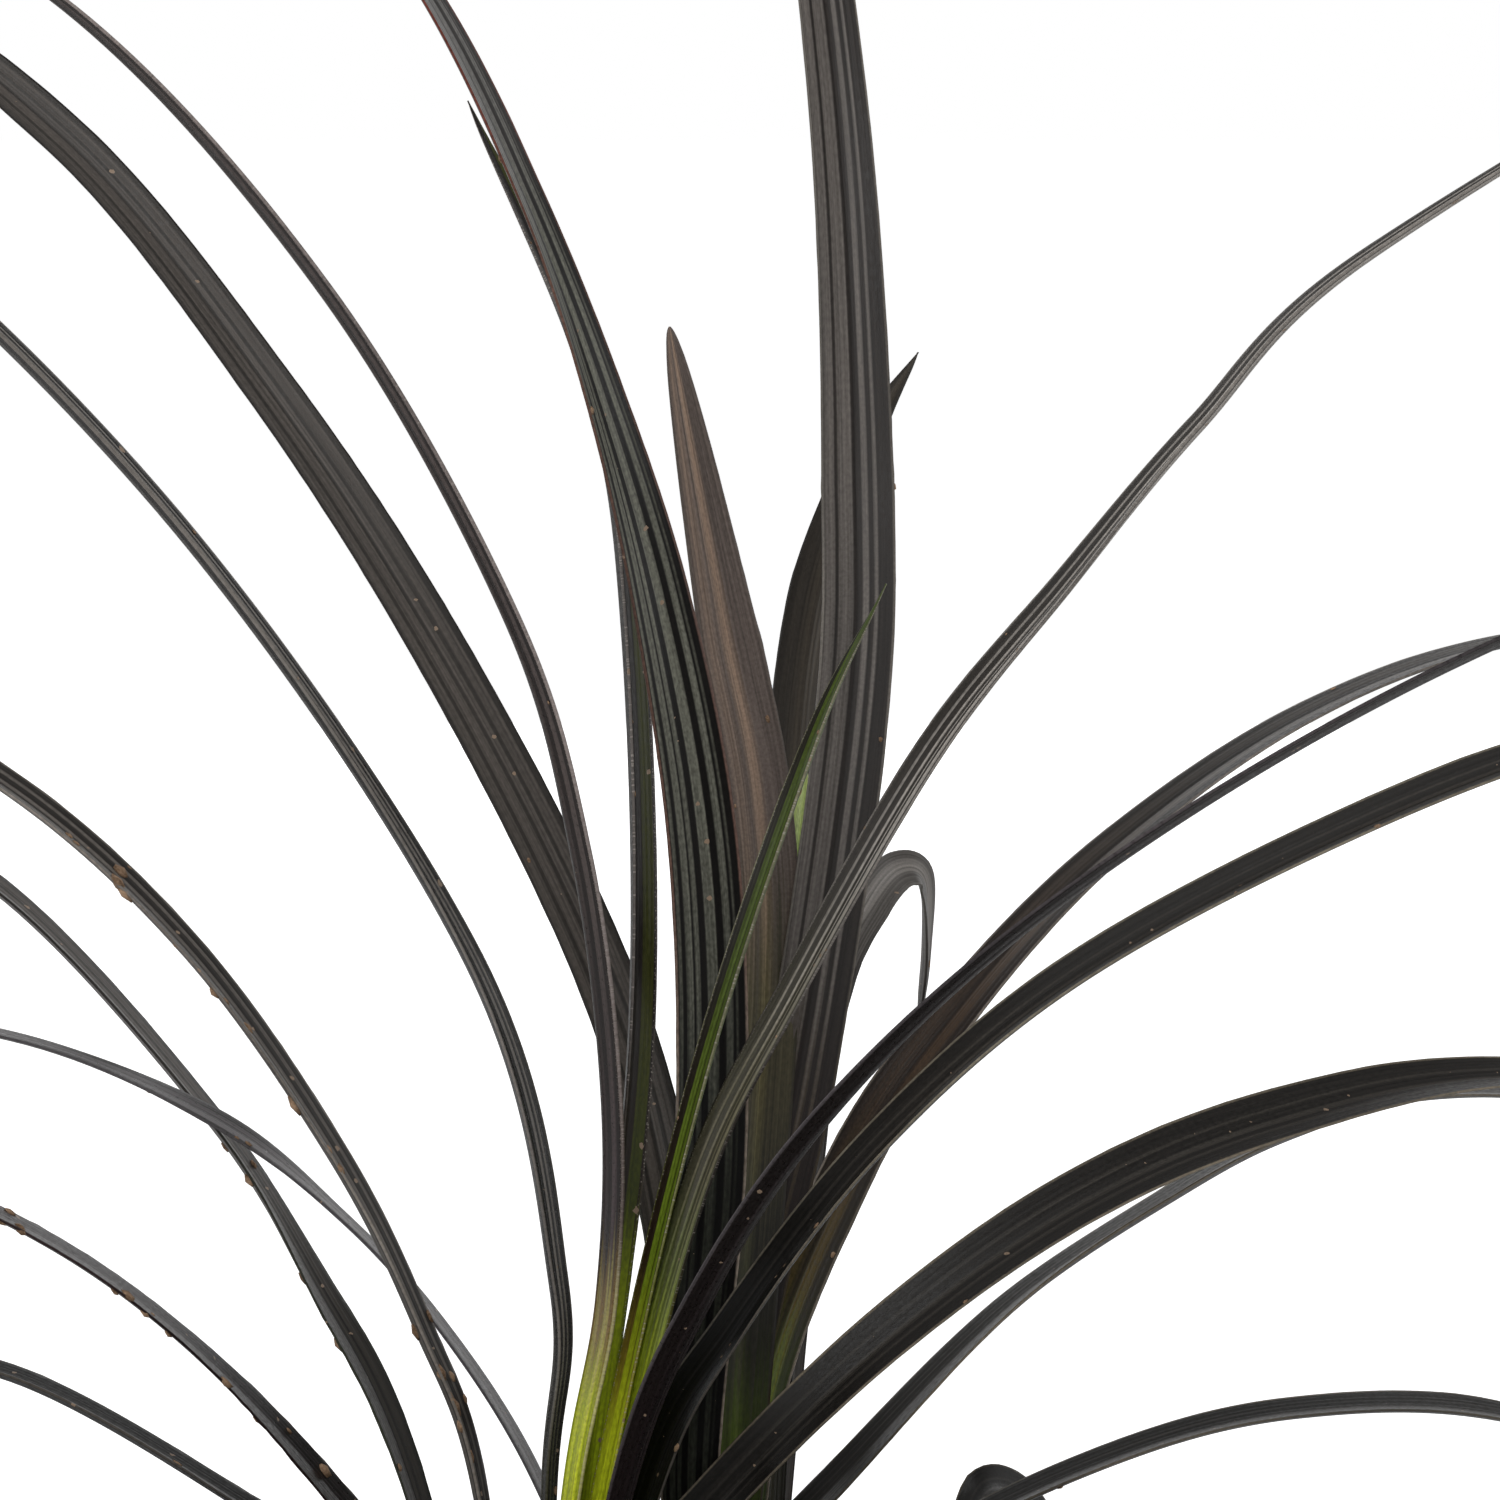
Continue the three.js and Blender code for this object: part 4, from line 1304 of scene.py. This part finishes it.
@dataclass(frozen=True)
class MouldedPolypropylene:
    """Black injection-moulded polypropylene: satin, with faint flow lines and handling dust."""

    name: str = "moulded_polypropylene"
    body: str = "191a1b"
    dust: str = "4a443d"
    dust_most: float = 0.35  # share of the dust's colour where it lies thickest
    dust_span: tuple[float, float] = (0.5, 0.78)  # values of the patches between which it comes up
    roughness: float = 0.42
    roughness_change: float = 0.3  # from the cleanest patch to the dustiest
    ior: float = 1.49
    grain: float = 0.35  # millimetres, the mould's fine spark texture
    line_gap: float = 0.9  # millimetres between flow lines up the wall
    line_stretch: float = 0.06  # their width beside their length
    patch: float = 14.0  # millimetres across one patch of dust
    relief: float = 0.05  # millimetres
    relief_strength: float = 0.25
    line_relief: float = 0.6  # of the flow lines beside the spark texture

    def material(self) -> Material:
        """Builds the finish.

        Returns:
            The material.
        """
        material, tree = new_material(self.name)
        place = add(tree, "ShaderNodeTexCoord")["Object"]
        stretch = {"Vector": place, "Scale": (1.0, 1.0, self.line_stretch)}
        upright = add(tree, "ShaderNodeMapping", inputs=stretch)[0]
        patterns = []
        for where, across, detail, rough in (
            (place, self.grain, 2.0, 0.5),
            (upright, self.line_gap, 2.0, 0.5),
            (place, self.patch, 6.0, 0.65),
        ):
            inputs = {"Vector": where, "Scale": 1 / (across * MM), "Detail": detail, "Roughness": rough}
            patterns.append(add(tree, "ShaderNodeTexNoise", inputs=inputs)[0])
        grain, lines, patches = patterns
        dusted = add(tree, "ShaderNodeMapRange", inputs=(patches, *self.dust_span, 0.0, self.dust_most))[0]
        inputs = {0: dusted, 6: linear(self.body), 7: linear(self.dust)}
        colour = add(tree, "ShaderNodeMix", BLEND, inputs)[2]
        inputs = (patches, self.roughness_change, self.roughness - self.roughness_change / 2)
        rough = add(tree, "ShaderNodeMath", SCALE_AND_ADD, inputs)[0]
        relief = add(tree, "ShaderNodeMath", SCALE_AND_ADD, (lines, self.line_relief, grain))[0]
        look = {"Base Color": colour, "Roughness": rough, "IOR": self.ior}
        end_material(tree, relief, self.relief_strength, self.relief, look)
        return material


SKINS = {skin: skin.value.material() for skin in Skin}
PAPERY_SHEATH = MottledFinish(
    "dry_leaf_sheath", "3a2c20", "8a765c", patch=5.0, grain=0.5, relief=0.12, roughness=0.7
).material()
DRIED_SOIL = MottledFinish(
    "dried_soil_fleck", "6a523c", "b8987c", patch=1.0, grain=0.15, relief=0.05, roughness=0.9
).material()
PEAT = MottledFinish(
    "peat_potting_mix", "120c08", "35261b", patch=6.0, grain=0.6, relief=0.5, roughness=0.95
).material()
BARK = MottledFinish(
    "composted_bark", "2a1c12", "6a4b33", patch=3.0, grain=0.5, relief=0.3, roughness=0.85
).material()
PERLITE = MottledFinish(
    "expanded_perlite", "b9b4aa", "eeeae2", patch=1.5, grain=0.3, relief=0.2, roughness=0.9
).material()


# Pot and soil ---------------------------------------------------------------------------------


@dataclass
class NurseryPot:
    """The round nursery pot: tapered wall, stepped rim and eight drain holes."""

    height: float = 92.0
    top_radius: float = 52.5
    foot_radius: float = 39.0
    wall: float = 1.6
    floor: float = 2.0
    rim_height: float = 9.0
    rim_step: float = 2.2
    drain_holes: int = 8
    drain_radius: float = 3.5
    drain_circle: float = 27.0
    drain_sides: int = 32
    sides: int = 144
    sharp_angle: float = 40.0  # degrees between faces from which an edge is sharp

    def wall_radius(self, height: float) -> float:
        """Outer radius of the wall at a height."""
        share = height / self.height
        return self.foot_radius + (self.top_radius - self.rim_step - self.foot_radius) * share

    def profile(self) -> list[tuple[float, float]]:
        """The pot's section, from the middle of the underside round to the middle of the floor.

        Returns:
            Radius and height of each corner.
        """
        under_rim = self.height - self.rim_height
        rim_foot = self.top_radius - 0.5
        inner_top = self.wall_radius(self.height) - self.wall
        return [
            (0.6, 0.0),
            (self.foot_radius - 1.2, 0.0),
            (self.foot_radius - 0.35, 0.25),
            (self.wall_radius(1.0), 1.0),
            *[(self.wall_radius(height), height) for height in (12, 24, 36, 48, 60, 72, 80)],
            (self.wall_radius(under_rim - 0.5), under_rim - 0.5),
            (self.wall_radius(under_rim) + 0.35, under_rim),
            (rim_foot - 0.5, under_rim),
            (rim_foot, under_rim + 0.4),
            (self.top_radius - 0.2, self.height - 3.0),
            (self.top_radius, self.height - 0.9),
            (self.top_radius - 0.25, self.height - 0.25),
            (self.top_radius - 0.9, self.height),
            (inner_top + 0.5, self.height),
            (inner_top, self.height - 0.5),
            *[(self.wall_radius(height) - self.wall, height) for height in (84, 76, 60, 44, 28, 12)],
            (self.wall_radius(self.floor) - self.wall, self.floor),
            (0.6, self.floor),
        ]

    def build(self) -> bpy.types.Object:
        """Turns the profile, cuts the drain holes and dresses the pot.

        Returns:
            The piece.
        """
        parts = MeshParts()
        slot = parts.slot(MouldedPolypropylene().material())
        angle = np.linspace(0, 2 * math.pi, self.sides, endpoint=False)
        parts.add_turned([level_ring(angle, *corner) for corner in self.profile()], slot)
        pot = parts.piece("nursery_pot")
        self.cut_drain_holes(pot)
        pot.data.set_sharp_from_angle(angle=math.radians(self.sharp_angle))
        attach(pot, "root")
        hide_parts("pot")
        LOG.info("%s: %d faces", pot.name, len(pot.data.polygons))
        return pot

    def cut_drain_holes(self, pot: bpy.types.Object) -> None:
        """Cuts the round holes through the floor.

        Args:
            pot: the pot's piece.
        """
        drills = bmesh.new()
        for hole in range(self.drain_holes):
            angle = 2 * math.pi * hole / self.drain_holes
            made = bmesh.ops.create_cone(
                drills,
                cap_ends=True,
                segments=self.drain_sides,
                radius1=self.drain_radius * MM,
                radius2=self.drain_radius * MM,
                depth=3 * self.floor * MM,
            )
            centre = Vector((math.cos(angle), math.sin(angle), 0)) * self.drain_circle
            centre.z = self.floor / 2
            bmesh.ops.translate(drills, verts=made["verts"], vec=centre * MM)
        drill_mesh = bpy.data.meshes.new("drills")
        drills.to_mesh(drill_mesh)
        drills.free()
        drill = bpy.data.objects.new("drills", drill_mesh)
        bpy.context.scene.collection.objects.link(drill)
        cut = pot.modifiers.new("drain_holes", "BOOLEAN")
        cut.operation, cut.object, cut.solver = "DIFFERENCE", drill, "EXACT"
        shaped = bpy.data.meshes.new_from_object(
            pot.evaluated_get(bpy.context.evaluated_depsgraph_get())
        )
        pot.modifiers.clear()
        pot.data = shaped
        bpy.data.objects.remove(drill)


@dataclass
class PottingMix:
    """Peat potting mix: a lumpy surface strewn with crumbs, bark and perlite."""

    bottom: float = 2.3
    edge_dip: float = 2.5
    lump: float = 0.8
    rim_radius: float = 52.5
    surface_radius: float = 46.3
    foot_radius: float = 37.2
    middle_radius: float = 0.5  # of the small flat in the middle of the underside
    overhang: float = 0.3  # added to every ring of the surface
    sides: int = 120
    rings: int = 46
    rough: float = 0.35
    crumbs: int = 1500
    bark: int = 130
    perlite: int = 70
    seed: int = 5
    clear: float = 0.4  # between the outermost crumbs and the edge
    lean: float = 0.2  # slope of a crumb's length
    flatness: float = 0.6  # height of a crumb beside its width
    seat: float = 0.2  # share of its size by which its middle stands above the surface

    def height(self, x: float, y: float) -> float:
        """Height of the surface at a place: lumps 20 to 25 mm long and a dip to the wall."""
        lumps = math.sin(0.31 * x + 1.7) * math.cos(0.27 * y - 0.6) + math.sin(0.19 * (x + y) + 0.4)
        dip = self.edge_dip * (math.hypot(x, y) / self.rim_radius) ** 4
        return SOIL_LEVEL + 0.5 * self.lump * lumps - dip

    def build(self) -> bpy.types.Object:
        """Builds the body of the mix and what lies on it.

        Returns:
            The piece.
        """
        source = np.random.default_rng(self.seed)
        parts = MeshParts()
        slot = parts.slot(PEAT)
        angle = np.linspace(0, 2 * math.pi, self.sides, endpoint=False)
        rows = [level_ring(angle, radius, self.bottom) for radius in (self.middle_radius, self.foot_radius)]
        for ring in range(self.rings):
            radius = self.surface_radius * (1 - ring / self.rings) + self.overhang
            row = level_ring(angle, radius, 0.0)
            rough = source.uniform(-self.rough, self.rough, self.sides)
            row[:, 2] = np.array([self.height(x, y) for x, y in row[:, :2]]) + rough
            rows.append(row)
        parts.add_turned(rows, slot)
        for material, count, sizes, stretch in (
            (PEAT, self.crumbs, (0.35, 1.3), 1.2),
            (BARK, self.bark, (0.6, 1.5), 2.4),
            (PERLITE, self.perlite, (0.5, 1.2), 1.1),
        ):
            for _ in range(count):
                self.strew(parts, material, sizes, stretch, source)
        soil = parts.piece("potting_mix", smooth=False)
        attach(soil, "root")
        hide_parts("soil")
        LOG.info("%s: %d faces", soil.name, len(parts.faces))
        return soil

    def strew(
        self,
        parts: MeshParts,
        material: Material,
        sizes: tuple[float, float],
        stretch: float,
        source: np.random.Generator,
    ) -> None:
        """Lays one crumb or chip on the surface.

        Args:
            parts: the piece that takes it.
            material: its finish.
            sizes: least and greatest half size.
            stretch: how much longer than wide it is.
            source: where its place is drawn from.
        """
        angle = float(source.uniform(0, 2 * math.pi))
        size = float(source.uniform(*sizes))
        reach = self.surface_radius - size * stretch - self.clear
        radius = reach * math.sqrt(float(source.random()))
        x, y = radius * math.cos(angle), radius * math.sin(angle)
        turn = float(source.uniform(0, math.pi))
        slope = float(source.uniform(-self.lean, self.lean))
        along = np.array([math.cos(turn), math.sin(turn), slope])
        aside = np.cross((0, 0, 1), along)
        axes = np.vstack([along * size * stretch, aside * size, (0, 0, self.flatness * size)])
        centre = np.array([x, y, self.height(x, y) + self.seat * size])
        add_crumb(parts, material, centre, axes, source)


# Studio ---------------------------------------------------------------------------------------


@dataclass
class Studio:
    """Plain pale floor, soft white light and the camera."""

    target: Point = (4.9, 0.0, 159.1)
    elevation: float = 4.0
    distance: float = 900.0
    frame_width: float = 105.0
    sensor: float = 36.0
    floor_radius: float = 9000.0
    floor_sides: int = 96
    floor_colour: str = "f2f2f2"
    sky_seen: float = 1.0
    sky_light: float = 0.18
    floor_seen: float = 0.85
    floor_light: float = 0.0

    def brightness(self, tree: Tree, light: float, seen: float) -> Socket:
        """Gives white surroundings one strength as light and another in plain sight.

        Args:
            tree: the nodes of the surroundings.
            light: the strength with which they light the plant.
            seen: the strength with which they show.

        Returns:
            The strength.
        """
        in_sight = add(tree, "ShaderNodeLightPath")["Is Camera Ray"]
        return add(tree, "ShaderNodeMapRange", inputs=(in_sight, 0.0, 1.0, light, seen))[0]

    def floor(self) -> None:
        """Lays a large round floor of white studio paper that the light washes out."""
        mesh = bpy.data.meshes.new("studio_floor")
        plan = bmesh.new()
        radius = self.floor_radius * MM
        bmesh.ops.create_circle(plan, cap_ends=True, segments=self.floor_sides, radius=radius)
        plan.to_mesh(mesh)
        plan.free()
        floor = bpy.data.objects.new("studio_floor", mesh)
        bpy.context.scene.collection.objects.link(floor)
        material, tree = new_material("studio_paper")
        look = {
            "Base Color": linear(self.floor_colour),
            "Roughness": 1.0,
            "Specular IOR Level": 0.0,
            "Emission Color": (1.0, 1.0, 1.0, 1.0),
            "Emission Strength": self.brightness(tree, self.floor_light, self.floor_seen),
        }
        shader = add(tree, "ShaderNodeBsdfPrincipled", inputs=look)[0]
        add(tree, "ShaderNodeOutputMaterial", inputs={"Surface": shader})
        mesh.materials.append(material)

    def sky(self) -> None:
        """Surrounds the scene with white that lights it more gently than it shows."""
        world = bpy.data.worlds.new("studio_white")
        bpy.context.scene.world = world
        world.use_nodes = True
        tree = world.node_tree
        tree.nodes.clear()
        inputs = ((1, 1, 1, 1), self.brightness(tree, self.sky_light, self.sky_seen))
        white = add(tree, "ShaderNodeBackground", inputs=inputs)[0]
        add(tree, "ShaderNodeOutputWorld", inputs={"Surface": white})

    def panel(self, name: str, place: Point, size: tuple[float, float], radiance: float) -> None:
        """Hangs one soft light panel that faces the plant.

        Args:
            name: the panel's name.
            place: its middle, in millimetres.
            size: its width and height, in millimetres.
            radiance: its brightness, where 1 is as bright as the white surroundings.
        """
        data = bpy.data.lights.new(name, "AREA")
        data.shape = "RECTANGLE"
        data.size, data.size_y = size[0] * MM, size[1] * MM
        data.energy = math.pi * data.size * data.size_y * radiance
        light = bpy.data.objects.new(name, data)
        light.location = Vector(place) * MM
        aim = Vector(self.target) * MM - light.location
        light.rotation_mode = "QUATERNION"
        light.rotation_quaternion = aim.to_track_quat("-Z", "Y")
        light.visible_camera = False
        bpy.context.scene.collection.objects.link(light)

    def lights(self) -> None:
        """Hangs the panels: a bright wall behind, one at each side, one above, one in front."""
        self.panel("panel_back", (0, 2300, 500), (3600, 2000), 0.9)
        self.panel("panel_left", (-1500, 300, 500), (700, 1300), 1.8)
        self.panel("panel_right", (1500, 300, 500), (700, 1300), 1.8)
        self.panel("panel_top", (0, -100, 1700), (900, 900), 2.2)
        self.panel("panel_front", (-300, -1700, 700), (1500, 900), 2.8)

    def camera(self) -> None:
        """Stands the camera in front, a little above the leaves."""
        data = bpy.data.cameras.new("camera")
        data.sensor_width = self.sensor
        data.lens = self.sensor * self.distance / self.frame_width
        data.dof.use_dof = False
        data.clip_start, data.clip_end = 0.01, 100.0  # metres
        camera = bpy.data.objects.new("camera", data)
        angle = math.radians(self.elevation)
        back = Vector((0, -math.cos(angle), math.sin(angle)))
        camera.location = (Vector(self.target) + back * self.distance) * MM
        camera.rotation_mode = "QUATERNION"
        camera.rotation_quaternion = (-back).to_track_quat("-Z", "Y")
        bpy.context.scene.collection.objects.link(camera)
        bpy.context.scene.camera = camera

    def build(self) -> None:
        """Sets up the whole studio."""
        self.camera()
        self.floor()
        self.sky()
        self.lights()
        bpy.context.scene.view_settings.view_transform = "Standard"


def main() -> None:
    """Builds the studio, the pot, the potting mix and the shoots, in that order."""
    logging.basicConfig(level=logging.INFO, format="%(name)s: %(message)s")
    Studio().build()
    NurseryPot().build()
    PottingMix().build()
    for index, shoot in enumerate(SHOOTS):
        shoot.build(index)


if __name__ == "__main__":
    main()
